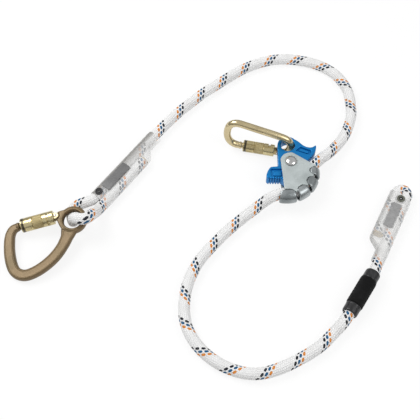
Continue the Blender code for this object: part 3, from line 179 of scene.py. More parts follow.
def build_surround():
    """White all round, dimmer towards the horizon: that draws dark bands in polished metal."""
    sky = Finish("white_surround", bpy.data.worlds, "Background")
    height = sky.node("SeparateXYZ", "Z", {0: sky.node("TexCoord", "Generated", {})})
    scene.world = sky.set(Color=(1, 1, 1), Strength=sky.span(height, *DIM_BAND, *SURROUND_LEVELS))


def build_sweep():
    """The table: white to the camera and in mirrors, and it keeps the lanyard's shadow."""
    paper = Finish("white_sweep")
    paper.set(Base_Color=SWEEP_WHITE, Roughness=SWEEP_ROUGHNESS)
    seen, mirrored, through = (
        paper.node("LightPath", f"Is {kind} Ray", {})
        for kind in ("Camera", "Glossy", "Transmission")
    )
    rays = paper.work("MAXIMUM", paper.work("MAXIMUM", seen, mirrored), through)
    lit, glow = Value(paper, paper.shader.outputs["BSDF"]), paper.node("Emission", "Emission", {})
    both = paper.node("MixShader", "Shader", {"Fac": rays * SHADOW_LEFT, 1: lit, 2: glow})
    paper.put(both, paper.tree.nodes["Material Output"].inputs["Surface"])
    mesh = bpy.data.meshes.new("white_sweep")
    corners = [(x * HALF_TABLE, y * HALF_TABLE, 0) for x, y in ((-1, -1), (1, -1), (1, 1), (-1, 1))]
    mesh.from_pydata(corners, [], [(0, 1, 2, 3)])
    mesh.materials.append(paper.material)
    sweep = bpy.data.objects.new("white_sweep", mesh)
    scene.collection.objects.link(sweep)


scene = bpy.context.scene
scene.view_settings.view_transform = "Standard"
camera_data = bpy.data.cameras.new("photo_camera")
camera_data.lens, camera_data.sensor_width = CAMERA_LENS, SENSOR_WIDTH
away = np.array([0.0, -math.cos(CAMERA_HEIGHT_ANGLE), math.sin(CAMERA_HEIGHT_ANGLE)])
scene.camera = stand("photo_camera", camera_data, table_origin + CAMERA_REACH * away)
for side, (place, size, power) in SOFT_BOXES.items():
    lamp = bpy.data.lights.new(f"{side}_soft_box", "AREA")
    lamp.energy, lamp.size = power, size
    stand(f"{side}_soft_box", lamp, place)
build_surround()
build_sweep()

# --------------------
# The rope: a 16 mm white polyester cover of 32 strands, 16 laid each way and each passing over
# two and under two, with three coloured strands side by side that show as flecks round the rope.
ROPE_RADIUS = 0.0080
BRAID_PITCH, BRAID_DEPTH = 0.0435, 0.00080
STRANDS_EACH_WAY = 16
ROPE_STATION_STEP, ROPE_STATIONS_ROUND = 0.00088, 80
ROUTE_SAMPLES = 24
ADJUSTER_MIDDLE = 2
# GAP_SHADE is painted shade in the gaps between the strands.
WHITE_YARN, SOILED_YARN, GAP_SHADE = (0.90, 0.90, 0.89), (0.76, 0.75, 0.73), (0.54, 0.54, 0.57)
FLECK_PAINTS = {5: (0.007, 0.009, 0.016), 3: (0.010, 0.105, 0.235), 1: (0.74, 0.26, 0.040)}
FLECK_HALF_WIDTH, FLECK_HALF_LENGTH = 0.82, 1.42

# The rope's middle on the table, in millimetres, from the eye's tail to the second sleeve's mouth.
EYE_ROUTE = np.array([
    (-96.2, 76.6, 9), (-115.2, 50.8, 9), (-139, 18.6, 9), (-146.1, 9, 9), (-149.8, 4, 9),
    (-154, -3, 10.2), (-158.8, -16, 20.5), (-162.6, -28.9, 33.8), (-169, -35.4, 37.8),
    (-176.2, -35, 37), (-182.4, -31.2, 32.2), (-186, -28.8, 25.5), (-187.2, -27.5, 19),
    (-188.5, -25, 12.6), (-190.5, -19.5, 8.7), (-192.5, -11.5, 8.2), (-191.5, -4.5, 8),
    (-186, 2.5, 8), (-177.5, 7, 8), (-168.3, 10.5, 8.4), (-160.1, 15.8, 9), (-155.8, 21.6, 9),
    (-151.3, 27.7, 9), (-146.5, 34.1, 9), (-120, 70.1, 9), (-90, 110.8, 9),
]) / 1000
UPPER_ROUTE = np.array([
    (-75.5, 129.5, 8.7), (-62, 147, 8), (-46.5, 165, 8), (-30, 181.5, 8), (-14, 197, 8),
    (3, 211, 8), (19, 223.5, 8), (37, 237.5, 8), (56, 250, 8), (78, 260, 8), (100, 266, 8),
    (120, 267.2, 8), (140, 264.5, 8), (160, 259, 8), (178.5, 249.5, 8), (194, 236, 8),
    (204.5, 219, 8), (210.5, 200, 8), (212, 180, 8), (211, 160, 8), (206, 140, 8.2),
    (197, 120, 8.8), (184, 101, 10.5), (170, 85, 14.5), (160, 74.5, 19), (151.5, 65, 22),
]) / 1000
ADJUSTER_ROUTE = np.array([
    (144.6, 56.2, 22.2), (140.5, 44, 22.3), (135.8, 32.5, 22.3), (127.5, 22.6, 22.3),
    (116.5, 16.5, 22.3), (105, 14.3, 22.2), (94, 12, 21.7),
]) / 1000
LOWER_ROUTE = np.array([
    (80, 6.5, 18), (64.5, -3.5, 12.4), (50, -14, 8.7), (34, -28, 8), (18, -44, 8), (4, -60, 8),
    (-8, -74.5, 8), (-19, -92, 8), (-27, -110, 8), (-32, -130, 8), (-33.8, -150, 8), (-32, -170, 8),
    (-26, -188, 8), (-15, -205, 8), (0, -220, 8), (18, -231.5, 8), (38, -239, 8), (58.5, -241.2, 8),
    (80, -237, 8), (102, -228, 8), (124, -216, 8.1), (144, -202, 8.4), (162, -184, 9.2),
    (174.5, -170.4, 10.9), (180, -162, 11.5),
]) / 1000
END_ROUTE = np.array([
    (189.5, -147.2, 11.5), (208.3, -117.8, 11.5), (217.8, -103, 11.4), (225.4, -87.3, 9.1),
    (234, -70, 9), (245, -47.8, 9), (269, 0.5, 9),
]) / 1000


def smooth_line(route):
    """Points close together on the natural cubic curve through a route, by chord length."""
    route = np.asarray(route, float)
    reach = np.linalg.norm(np.diff(route, axis=0), axis=1)
    count = len(route)
    system = np.zeros((count, count))
    right = np.zeros_like(route)
    system[0, 0] = system[-1, -1] = 1.0
    for i in range(1, count - 1):
        before, after = reach[i - 1], reach[i]
        system[i, i - 1 : i + 2] = before, 2 * (before + after), after
        right[i] = 6 * ((route[i + 1] - route[i]) / after - (route[i] - route[i - 1]) / before)
    bend = np.linalg.solve(system, right)
    line = []
    for i in range(count - 1):
        share = np.linspace(0, 1, ROUTE_SAMPLES, endpoint=False)[:, None]
        straight = route[i] * (1 - share) + route[i + 1] * share
        curve = bend[i] * ((1 - share) ** 3 - (1 - share)) + bend[i + 1] * (share**3 - share)
        line.append(straight + reach[i] ** 2 / 6 * curve)
    return np.vstack([*line, route[-1:]])


def even_stations(line, step):
    """The line's points at equal steps, and the length along it at each."""
    lengths = np.concatenate([[0], np.cumsum(np.linalg.norm(np.diff(line, axis=0), axis=1))])
    along = np.linspace(0, lengths[-1], max(2, round(lengths[-1] / step)) + 1)
    return np.stack([np.interp(along, lengths, part) for part in np.transpose(line)], 1), along


def surface(points, around=True, along=False, caps=False, uv=None):
    """A grid of places (rows, columns, 3) as a surface; around joins the last column to the first,
    along the last row to the first, and caps closes both ends. uv is a value for each row and one
    for each column, with one more at its end where the last column joins the first."""
    rows, columns = points.shape[:2]
    r, c = np.indices((rows if along else rows - 1, columns if around else columns - 1))
    corners = [(r, c), (r, c + 1), (r + 1, c + 1), (r + 1, c)]
    quads = np.stack([a % rows * columns + b % columns for a, b in corners], -1).reshape(-1, 4)
    if uv is None:
        uv = np.arange(rows + 1) / rows, np.arange(columns + 1) / columns
    u, v = (np.append(share, share[-1]) for share in uv)
    spots = np.stack([np.stack([u[a], v[b]], -1) for a, b in corners], -2).reshape(-1, 2)
    ends = [np.arange(columns)[::-1], (rows - 1) * columns + np.arange(columns)] if caps else []
    return points.reshape(-1, 3), quads, ends, spots


def points_out(places, quads, ends):
    """True where a closed surface's faces point out: the volume inside it is above zero."""
    places = places - places.mean(axis=0)
    fans = [np.stack([np.full(len(e) - 2, e[0]), e[1:-1], e[2:]], 1) for e in ends]
    a, b, c = places[np.concatenate([quads[:, [0, 1, 2]], quads[:, [0, 2, 3]], *fans]).T]
    return np.sum(a * np.cross(b, c)) > 0


def piece_of(name, material, surfaces, slot, replaced, body="rope_and_adjuster", sharp=50):
    """One object from closed surfaces. It rides on a body and stands for the nodes it replaces."""
    places, faces, smooth, spots = np.zeros((0, 3)), [], [], []
    for points, quads, ends, uv in surfaces:
        if not points_out(points, quads, ends):
            quads, ends = quads[:, ::-1], [end[::-1] for end in ends]
            uv = uv.reshape(-1, 4, 2)[:, ::-1].reshape(-1, 2)
        faces += [*(quads + len(places)).tolist(), *((end + len(places)).tolist() for end in ends)]
        smooth += [True] * len(quads) + [False] * len(ends)
        spots += [uv, np.zeros((sum(map(len, ends)), 2))]
        places = np.concatenate([places, points])
    mesh = bpy.data.meshes.new(name)
    mesh.from_pydata(places, [], faces)
    mesh.polygons.foreach_set("use_smooth", smooth)
    layer = mesh.uv_layers.new(name="UVMap")
    layer.data.foreach_set("uv", np.concatenate(spots).astype(np.float32).reshape(-1))
    mesh.set_sharp_from_angle(angle=math.radians(sharp))
    mesh.materials.append(material)
    piece = bpy.data.objects.new(name, mesh)
    scene.collection.objects.link(piece)
    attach(piece, body)
    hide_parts(*replaced)
    return piece


def braid_height(length, turn):
    """Height of the cover from 0 to 1. p counts the right-laid strands and q the left-laid ones; in
    each diamond where they cross, the sum of both counts says which strand is on top."""
    p = STRANDS_EACH_WAY * (turn - length / BRAID_PITCH)
    q = STRANDS_EACH_WAY * (turn + length / BRAID_PITCH)
    step = np.mod(np.floor(p) + np.floor(q), 4)
    across = np.where(step < 2, p - np.floor(p), q - np.floor(q))
    along = np.where(step < 2, q - np.floor(q), p - np.floor(p))
    along = (along + np.mod(step, 2)) / 2
    crown = np.sqrt(np.clip(1 - (2 * across - 1) ** 2, 0, 1))
    arch = np.sqrt(np.clip(np.sin(math.pi * along), 0, 1))
    return crown * arch


def braided_rope(line, radius, phase=0.0, up=(0, 0, 1)):
    """The cover carried along a line: its radius less the braid's depth in the gaps between the
    strands. The spokes' up is carried along the line without any twist."""
    points, along = even_stations(line, ROPE_STATION_STEP)
    tangent = np.gradient(points, axis=0)
    tangent /= np.linalg.norm(tangent, axis=1)[:, None]
    ups = np.zeros_like(points)
    for k, direction in enumerate(tangent):
        up = up - np.dot(up, direction) * direction
        up = ups[k] = up / np.linalg.norm(up)
    turn = np.arange(ROPE_STATIONS_ROUND) / ROPE_STATIONS_ROUND
    angle = 2 * math.pi * turn[None, :, None]
    left = np.cross(ups, tangent)
    spoke = ups[:, None, :] * np.cos(angle) + left[:, None, :] * np.sin(angle)
    reach = radius - BRAID_DEPTH * (1 - braid_height(along[:, None] + phase, turn[None, :]))
    uv = (along + phase) / BRAID_PITCH, np.append(turn, 1.0)
    cover = surface(points[:, None, :] + spoke * reach[:, :, None], caps=True, uv=uv)
    return cover, points, along, up


def cover_cloth():
    """White cover cloth: flecks of three coloured strands, painted shade in the gaps, filaments,
    faint soiling. A strand's flecks lie where it is on top, each a rounded lozenge two gaps long."""
    cloth = Finish("braided_white_cover")
    work = cloth.work
    length, turn = cloth.uv_part("X"), cloth.uv_part("Y")
    p, q = (turn - length) * STRANDS_EACH_WAY, (turn + length) * STRANDS_EACH_WAY
    p_count, q_count = work("FLOOR", p), work("FLOOR", q)
    p_rest, q_rest = p - p_count, q - q_count
    step = (p_count + q_count) % 4.0
    right_on_top = work("LESS_THAN", step, 1.5)
    left_on_top = 1.0 - right_on_top
    across = p_rest * right_on_top + q_rest * left_on_top
    along = (q_rest * right_on_top + p_rest * left_on_top + step % 2.0) / 2.0
    crown, arch = (work("SINE", share * math.pi) for share in (across, along))
    body = work("POWER", crown * arch, 0.35)
    soiling = cloth.span(cloth.grain(60.0, 5.0), 0.45, 0.75, 0.0, 0.45)
    colour = cloth.blend(soiling, WHITE_YARN, SOILED_YARN)
    half = STRANDS_EACH_WAY / 2
    for number, paint in FLECK_PAINTS.items():
        off = (p - (number + 0.5) + half) % STRANDS_EACH_WAY - half
        run = (q + (number + 1.0)) % 4.0 - 2.0
        wide, long = (
            work("POWER", work("ABSOLUTE", gap / reach), 3.0)
            for gap, reach in ((off, FLECK_HALF_WIDTH), (run, FLECK_HALF_LENGTH))
        )
        fleck = cloth.span(wide + long, 0.75, 1.15, 1.0, 0.0)
        worn = cloth.span(cloth.grain(900.0, 2.0), 0.2, 0.45, 0.75, 1.0)
        colour = cloth.blend(fleck * worn, colour, paint)
    # Painted shade: the gaps between the strands are darkened towards GAP_SHADE.
    colour = cloth.blend((1.0 - body) * 0.8, colour, GAP_SHADE, "MULTIPLY")
    filaments = work("SINE", across * (2 * math.pi * 5))
    cloth.relief(body + filaments * 0.07, 0.7, 0.0004)
    return cloth.set(Base_Color=colour, Roughness=0.75, Sheen_Weight=0.04, Sheen_Roughness=0.5,
                     Specular_IOR_Level=0.25)


ROPE_COVER = cover_cloth()
whole_route = np.vstack([EYE_ROUTE, UPPER_ROUTE, ADJUSTER_ROUTE, LOWER_ROUTE, END_ROUTE])
whole_line = on_table(smooth_line(whole_route))
parting = (len(EYE_ROUTE) + len(UPPER_ROUTE) + ADJUSTER_MIDDLE) * ROUTE_SAMPLES
eye_half, eye_points, eye_along, _ = braided_rope(whole_line[: parting + 1][::-1], ROPE_RADIUS)
end_half, end_points, end_along, last_up = braided_rope(whole_line[parting:], ROPE_RADIUS)
rope_to_eye = piece_of(
    "rope_to_eye", ROPE_COVER, [eye_half], "rope", ("rope_eye", "rope_upper", "rope_in_adjuster"),
    sharp=180,
)
rope_to_grip = piece_of(
    "rope_to_grip", ROPE_COVER, [end_half], "rope", ("rope_lower", "rope_through_grip"), sharp=180
)

# --------------------
# The rope's free end is folded back on itself and sewn: it leaves the clear sleeve's mouth, turns
# over tightly, and runs back beside the standing leg. Both tails end in a melted, yellowed cut.
END_MOUTH, END_LEG_TOP = (0.2731, 0.0087, 0.0090), (0.2230, -0.0921, 0.0090)
EYE_MOUTH, EYE_LEG_TOP = EYE_ROUTE[-6], EYE_ROUTE[-2]
LEG_PITCH, UNDER_FILM_RADIUS = 0.0153, 0.0076
FOLD_OUT, FOLD_STRETCH = 0.0070, 1.25
END_TAIL_LENGTH, CUT_END_LENGTH, CUT_GAP = 0.0650, 0.0018, 0.0003
MELTED_LIGHT, MELTED_DARK = (0.62, 0.46, 0.20), (0.25, 0.15, 0.05)


def leg_frame(start, toward):
    """An origin and X along a standing leg, Y to its outer side, Z up."""
    along = np.subtract(toward, start) * (1, 1, 0)
    along /= np.linalg.norm(along)
    return on_table(start), np.array([along, (-along[1], along[0], 0), (0, 0, 1)])


def into(place, points):
    """Points measured in a place's own X, Y and Z, in the lanyard's frame."""
    origin, axes = place
    return origin + np.asarray(points, float) @ axes


def circle(r, height, angle):
    """Places at a distance from Z, a height and an angle, which may be whole grids."""
    return np.stack([r * np.cos(angle), r * np.sin(angle), height + 0 * (r * angle)], -1)


end_leg, eye_leg = leg_frame(END_MOUTH, END_LEG_TOP), leg_frame(EYE_MOUTH, EYE_LEG_TOP)
fold_turn = np.linspace(0, math.pi, 15)
half_pitch = LEG_PITCH / 2
fold_route = np.stack([
    -FOLD_OUT - half_pitch * FOLD_STRETCH * np.sin(fold_turn),
    half_pitch * (np.cos(fold_turn) - 1), 0 * fold_turn,
], 1)
fold_end = (END_TAIL_LENGTH, -LEG_PITCH, 0)
fold_line = np.vstack([end_points[-1], into(end_leg, [*fold_route, fold_end])])
fold = braided_rope(fold_line, UNDER_FILM_RADIUS, end_along[-1], last_up)[0]
piece_of("rope_end_fold", ROPE_COVER, [fold], "rope", ("rope_end",), sharp=180)


def melted_end(place, tail, lumps):
    """A cut end: rounded over by a superellipse, with the radius wandering a little round it."""
    angle = np.linspace(0, 2 * math.pi, 48, endpoint=False)[None, :]
    share = np.linspace(0, 1, 9)[:, None]
    wander = 1 + 0.03 * np.sin(3 * angle + lumps) + 0.02 * np.sin(7 * angle)
    reach = UNDER_FILM_RADIUS * 0.985 * (1 - 0.35 * share**4) * wander
    rise = share * CUT_END_LENGTH * (1 + 0.12 * np.sin(2 * angle + lumps))
    local = [tail + CUT_GAP + rise, reach * np.cos(angle) - LEG_PITCH, reach * np.sin(angle)]
    return surface(into(place, np.stack(local, -1)), caps=True)


def melted_yarn():
    """Yarn melted over by a hot knife: pale amber, scorched darker in patches, slightly lumpy."""
    scorch = Finish("melted_rope_end")
    patches = scorch.grain(420.0, 5.0)
    scorch.relief(patches, 0.5, 0.0004)
    colour = scorch.blend(scorch.span(patches, 0.35, 0.7), MELTED_LIGHT, MELTED_DARK)
    return scorch.set(Base_Color=colour, Roughness=0.42)


MELTED_YARN = melted_yarn()
eye_tail = float((on_table(EYE_ROUTE[0]) - eye_leg[0]) @ eye_leg[1][0])
for prefix, place, tail in (("eye", eye_leg, eye_tail), ("end", end_leg, END_TAIL_LENGTH)):
    cut = melted_end(place, tail, len(prefix) + tail * 90)
    piece_of(f"{prefix}_melted_tip", MELTED_YARN, [cut], "sealed_end", (f"{prefix}_cut_end",))

# --------------------
# The clear sleeves: heat-shrunk film over each sewn splice. It is wide over both legs, steps in
# past the tail, and shows the rope through it. Each has painted shade: grey along one side, white
# elsewhere.
FILM_RADIUS, FILM_WALL = 0.0090, 0.0008
FILM_STEP_SHARE = 0.16
FILM_WAVE, FILM_WAVE_RATE = 0.00010, 610
FILM_STEPS, FILM_UV_ROW = {"wide": 44, "narrow": 40, "round": 26, "flat": 12}, 20
# The two greys are painted shade along one side of each sleeve's film.
FILM_WHITE, FILM_SHADE_GREY, FILM_PALE_SHADE_GREY = (0.92, 0.92, 0.91), (0.31, 0.30, 0.28), (0.50, 0.50, 0.49)


def film_sleeve(place, length, shoulder, neck, skew):
    """A stadium of two round sides carried along the legs. Its tail side moves in by a smooth step
    past the shoulder, its mouth leans, and slight waves cross it. The inside lies a wall lower.
    The UV's Y is the share of the width, taken from one row where it is widest."""
    wide_x = np.linspace(0, shoulder, FILM_STEPS["wide"])
    x = np.r_[wide_x, np.linspace(shoulder, length, FILM_STEPS["narrow"])[1:]][:, None]
    wide, narrow = -(LEG_PITCH + FILM_RADIUS), FILM_RADIUS - neck
    share = np.clip((x - shoulder) / (length * FILM_STEP_SHARE), 0, 1)
    low = wide + (narrow - wide) * (share * share * (3 - 2 * share))
    middle, half = (FILM_RADIUS + low) / 2, (FILM_RADIUS - low) / 2
    straight = np.clip(half - FILM_RADIUS, 0, None)
    arc = np.linspace(0, math.pi, FILM_STEPS["round"])
    flat = np.linspace(1, -1, FILM_STEPS["flat"])[1:-1]
    side = np.r_[0 * arc + 1, flat, 0 * arc - 1, -flat]
    out = np.r_[np.sin(arc), 0 * flat, -np.sin(arc), 0 * flat]
    up = np.r_[-np.cos(arc), 0 * flat + 1, np.cos(arc), 0 * flat - 1]
    across = np.arange(len(side)) / len(side)
    wave = FILM_WAVE * (np.sin(x * FILM_WAVE_RATE + 2 * np.sin(across * 12.6)) - 1)
    rows = []
    for wall in (0.0, FILM_WALL):
        reach = FILM_RADIUS - wall + wave
        y = middle + straight * side + reach * out
        leaned = x + skew * np.clip(1 - x / shoulder, 0, 1) * (y - FILM_RADIUS)
        rows.append(np.stack([leaned, y, reach * up], -1))
    y_share = (rows[0][FILM_UV_ROW, :, 1] - wide) / (FILM_RADIUS - wide)
    uv = np.r_[x[:, 0], x[::-1, 0], 0] / length, np.r_[y_share, y_share[0]]
    return surface(into(place, np.concatenate([rows[0], rows[1][::-1]])), along=True, uv=uv)


def shaded_shrunk_film(name, grey, start, full, clear, solid):
    """Frosted film with painted shade: greyer and more solid towards one side, where the share of
    its width goes from start to full, with faint smears and scuffs."""
    film = Finish(name)
    smear = film.grain(9.0, 4.0, (1.0, 6.0, 1.0), uv=True)
    edge = film.uv_part("Y") + (smear - 0.5) * 0.25
    # Painted shade: the film turns grey towards one side of its width.
    colour = film.blend(film.span(edge, start, full), FILM_WHITE, grey)
    shown = film.span(edge, start, full, clear, solid) + smear * 0.08
    film.relief(film.grain(160.0, 3.0), 0.15, 0.0004)
    return film.set(Base_Color=colour, Alpha=shown, Roughness=0.30, IOR=1.45, Coat_Weight=0.3)


# Each sleeve's length, shoulder, neck and lean of its mouth, and then how its film looks.
for prefix, place, sizes, look in (
    ("eye", eye_leg, (0.1298, 0.0903, 0.022, 0.14), (FILM_SHADE_GREY, 0.30, 0.98, 0.14, 0.56)),
    ("end", end_leg, (0.1060, 0.0740, 0.019, 0.22), (FILM_PALE_SHADE_GREY, 0.30, 0.00, 0.20, 0.32)),
):
    film = shaded_shrunk_film(f"shrunk_{prefix}_film", *look)
    sleeve = film_sleeve(place, *sizes)
    piece_of(f"{prefix}_film_sleeve", film, [sleeve], "clear_sleeve", (f"{prefix}_sleeve",))

# --------------------
# On each sleeve lie a thin label of mottled grey film and a small round token with a raised ring
# round its hole: black at the eye end, grey-olive with a black middle at the other.
LABEL_THICKNESS, LABEL_CORNER, LABEL_CONTRAST = 0.0006, 0.0016, 0.60
SEAT_GAP = 0.0003
TOKEN_RADIUS, TOKEN_HOLE, TOKEN_THICKNESS = 0.0055, 0.0011, 0.0012
TOKEN_STEPS = [(0.45, 0.75), (0.5, 0.45), (0.68, 0.45), (0.74, 1), (1, 1), (1, 0)]
TOKEN_BLACK, TOKEN_OLIVE = (0.010, 0.010, 0.011), (0.115, 0.120, 0.095)
TOKEN_MIDDLE, TOKEN_SPECK = (0.004, 0.004, 0.004), (0.07, 0.07, 0.07)
CORNER_SHARE = 0.46


def rounded(corners, radius, steps=5):
    """A closed outline with each corner drawn round by a quadratic curve."""
    corners = np.asarray(corners, float)
    to_last, to_next = np.roll(corners, 1, 0) - corners, np.roll(corners, -1, 0) - corners
    first, last = (
        corners + side * (np.minimum(radius, CORNER_SHARE * reach) / reach)
        for side, reach in ((s, np.linalg.norm(s, axis=1)[:, None]) for s in (to_last, to_next))
    )
    t = np.linspace(0, 1, steps)[None, :, None]
    weights = (1 - t) ** 2, 2 * t * (1 - t), t**2
    return sum(w * p[:, None] for w, p in zip(weights, (first, corners, last))).reshape(-1, 2)


def slab(place, outline, low, high, edge, holes=(), low_edge=None):
    """A plate: closed outlines carried from low to high, drawn in along their own normals by a
    quarter round at both faces. The faces between the outline and its holes are filled flat."""
    low_edge = edge if low_edge is None else low_edge
    quarter = np.linspace(0, math.pi / 2, 5)
    fall, rise = 1 - np.sin(quarter), 1 - np.cos(quarter)
    inset = np.concatenate([low_edge * fall, edge * fall[::-1]])
    height = np.concatenate([low + low_edge * rise, high - edge * rise[::-1]])
    places, quads, spots, bottom, top, start = [], [], [], [], [], 0
    for number, loop in enumerate((outline, *holes)):
        loop = np.asarray(loop, float)
        loop = loop[np.linalg.norm(np.roll(loop, -1, 0) - loop, axis=1) > 1e-6]
        area = np.sum(loop[:, 0] * np.roll(loop[:, 1], -1) - loop[:, 1] * np.roll(loop[:, 0], -1))
        if (area > 0) == (number > 0):
            loop = loop[::-1]
        run = np.roll(loop, -1, 0) - np.roll(loop, 1, 0)
        normal = np.stack([run[:, 1], -run[:, 0]], 1) / np.linalg.norm(run, axis=1)[:, None]
        flat = loop[None] - normal[None] * inset[:, None, None]
        deep = np.broadcast_to(height[:, None, None], (*flat.shape[:2], 1))
        points, faces, _, uv = surface(np.concatenate([flat, deep], -1))
        places.append(points)
        quads.append(faces + start)
        spots.append(uv)
        bottom.append(start + np.arange(len(loop)))
        start += len(points)
        top.append(start - len(loop) + np.arange(len(loop)))
    places = np.concatenate(places)
    ends = []
    for rings, sign in ((bottom, -1), (top, 1)):
        names = np.concatenate(rings)
        threes = np.array(tessellate_polygon([[Vector(places[k]) for k in ring] for ring in rings]))
        a, b, c = places[names[threes.T]][..., :2]
        turn = (b - a)[:, 0] * (c - a)[:, 1] - (b - a)[:, 1] * (c - a)[:, 0]
        wrong = turn * sign < 0
        threes[wrong] = threes[wrong][:, ::-1]
        ends += list(names[threes])
    return into(place, places), np.concatenate(quads), ends, np.concatenate(spots)


def turned(place, profile, steps=64, solid=False):
    """(radius, height) points turned once round a place's Z: a closed profile, or one from end to
    end that is capped to make it solid."""
    r, h = np.transpose(profile)[..., None]
    angle = np.linspace(0, 2 * math.pi, steps, endpoint=False)
    return surface(into(place, circle(r, h, angle)), along=not solid, caps=solid)


def mottled_label(name, grey):
    """Glossy grey film, mottled by fine wear over soft bands."""
    film = Finish(name)
    bands, fine = film.grain(14.0, 3.0, (1.2, 9.0, 1.0)), film.grain(1300.0, 3.0)
    share = film.span(fine * 0.7 + bands * 0.3, 0.34, 0.66)
    colour = film.blend(share, (grey * LABEL_CONTRAST,) * 3, (grey,) * 3)
    return film.set(Base_Color=colour, Roughness=0.42, Coat_Weight=0.15, Coat_Roughness=0.25)


def token_finish(name, rim):
    """Moulded plastic: one colour at the rim and one round the hole, by the UV's length."""
    plastic = Finish(name)
    speck = plastic.grain(1500.0, 3.0)
    colour = plastic.blend(plastic.span(plastic.uv_part("X"), 0.30, 0.36), TOKEN_MIDDLE, rim)
    colour = plastic.blend(plastic.span(speck, 0.55, 0.85, 0.0, 0.4), colour, TOKEN_SPECK)
    plastic.relief(speck, 0.2, 0.0002)
    return plastic.set(Base_Color=colour, Roughness=0.36)


lip = [(TOKEN_HOLE, TOKEN_THICKNESS * 0.75)]
steps = [(TOKEN_RADIUS * r, TOKEN_THICKNESS * z) for r, z in TOKEN_STEPS]
TOKEN_PROFILE = rounded([*lip, *steps, (TOKEN_HOLE, 0)], 0.0003)
seat = FILM_RADIUS + SEAT_GAP
# Each label's start, length, width, place across and grey; each token's place, colour and slot.
for prefix, place, (start, length, width, across, grey), spot, (rim, slot) in (
    (
        "eye", eye_leg, (0.0158, 0.0475, 0.0140, -0.0045, 0.165), (0.0058, -0.0016),
        (TOKEN_BLACK, "tag_black"),
    ),
    (
        "end", end_leg, (0.0138, 0.0400, 0.0130, -LEG_PITCH / 2, 0.34), (0.0042, -0.0060),
        (TOKEN_OLIVE, "tag_olive"),
    ),
):
    sides = ((0, -width / 2), (length, -width / 2), (length, width / 2), (0, width / 2))
    outline = rounded([(start + x, across + y) for x, y in sides], LABEL_CORNER)
    label = slab(place, outline, seat, seat + LABEL_THICKNESS, LABEL_THICKNESS * 0.4)
    film = mottled_label(f"{prefix}_grey_label", grey)
    piece_of(f"{prefix}_mottled_label", film, [label], "label", (f"{prefix}_label",))
    token = turned((into(place, (*spot, seat)), place[1]), TOKEN_PROFILE, 72)
    plastic = token_finish(f"{prefix}_token_plastic", rim)
    piece_of(f"{prefix}_token", plastic, [token], slot, (f"{prefix}_tag",))

# --------------------
# The hand grip: a black ribbed rubber sleeve slid over the rope, held by two moulded dark grey
# collars that are pressed on at its ends.
GRIP_START, GRIP_END = LOWER_ROUTE[-1], END_ROUTE[2]
GRIP_RADIUS, COLLAR_RADIUS, GRIP_BORE = 0.0115, 0.01075, 0.0086
GRIP_HALF, COLLAR_LENGTH, COLLAR_STEP = 0.035, 0.014, 0.0022
GRIP_RIPPLE, GRIP_RIPPLE_RATE = 0.00008, 1250
GRIP_ROLL_DEPTH, GRIP_ROLL_LENGTH = 0.0010, 0.0012
GRIP_BLACK, GRIP_WORN = (0.004, 0.004, 0.004), (0.016, 0.016, 0.017)
COLLAR_DARK, COLLAR_LIGHT = (0.009, 0.009, 0.010), (0.024, 0.024, 0.026)

grip_start, grip_end = (on_table((*point[:2], GRIP_RADIUS)) for point in (GRIP_START, GRIP_END))
grip_along = (grip_end - grip_start) / np.linalg.norm(grip_end - grip_start)
grip_side = np.array([-grip_along[1], grip_along[0], 0])
grip_axes = np.array([grip_side, np.cross(grip_along, grip_side), grip_along])
grip_place = (grip_start + grip_end) / 2, grip_axes


def grip_rubber():
    """Matt foam rubber with fine pores, paler where hands rub it."""
    rubber = Finish("black_grip_rubber")
    pores = rubber.grain(1100.0, 5.0)
    worn = rubber.span(rubber.grain(70.0, 4.0), 0.40, 0.75)
    rubber.relief(pores + worn * 0.5, 0.6, 0.0005)
    colour = rubber.blend(worn * pores, GRIP_BLACK, GRIP_WORN)
    return rubber.set(Base_Color=colour, Roughness=0.80, Sheen_Weight=0.02, Specular_IOR_Level=0.16)


def collar_plastic():
    """Smooth moulded plastic, nearly black, with paler streaks along the rope."""
    plastic = Finish("dark_collar_plastic")
    streak = plastic.grain(60.0, 5.0, (8.0, 1.0, 1.0))
    plastic.relief(plastic.grain(900.0, 3.0), 0.12, 0.0003)
    colour = plastic.blend(plastic.span(streak, 0.35, 0.7), COLLAR_DARK, COLLAR_LIGHT)
    return plastic.set(Base_Color=colour, Roughness=0.36, Coat_Weight=0.05, Specular_IOR_Level=0.4)


def grip_sleeve():
    """A tube round the rope whose radius ripples along and round it, with rolled-in ends."""
    land = GRIP_HALF - COLLAR_LENGTH
    z = np.linspace(-land, land, 60)[:, None]
    angle = np.linspace(0, 2 * math.pi, 96, endpoint=False)
    roll = GRIP_ROLL_DEPTH * np.clip(1 - (land - np.abs(z)) / GRIP_ROLL_LENGTH, 0, 1) ** 2
    ripple = GRIP_RIPPLE * (np.sin(z * GRIP_RIPPLE_RATE + 1.2 * np.sin(2 * angle)) - 1)
    r = np.concatenate([GRIP_RADIUS - roll + ripple, GRIP_BORE + 0 * ripple])
    return surface(into(grip_place, circle(r, np.concatenate([z, z[::-1]]), angle)), along=True)


piece_of("ribbed_grip", grip_rubber(), [grip_sleeve()], "grip", ("grip_sleeve",))
COLLAR_PLASTIC = collar_plastic()
for name, side in (("grip_collar_upper", 1), ("grip_collar_lower", -1)):
    near, far = side * (GRIP_HALF - COLLAR_LENGTH + SEAT_GAP), side * GRIP_HALF
    step = side * COLLAR_STEP
    corners = [
        (GRIP_BORE, near), (COLLAR_RADIUS, near), (COLLAR_RADIUS, near + step),
        (COLLAR_RADIUS - 0.0003, near + step * 1.2), (COLLAR_RADIUS - 0.0003, far - step * 0.9),
        (COLLAR_RADIUS - 0.0012, far), (GRIP_BORE, far),
    ]
    collar = turned(grip_place, rounded(corners, 0.0009), 96)
    piece_of(f"moulded_{name}", COLLAR_PLASTIC, [collar], "collar", (name,))
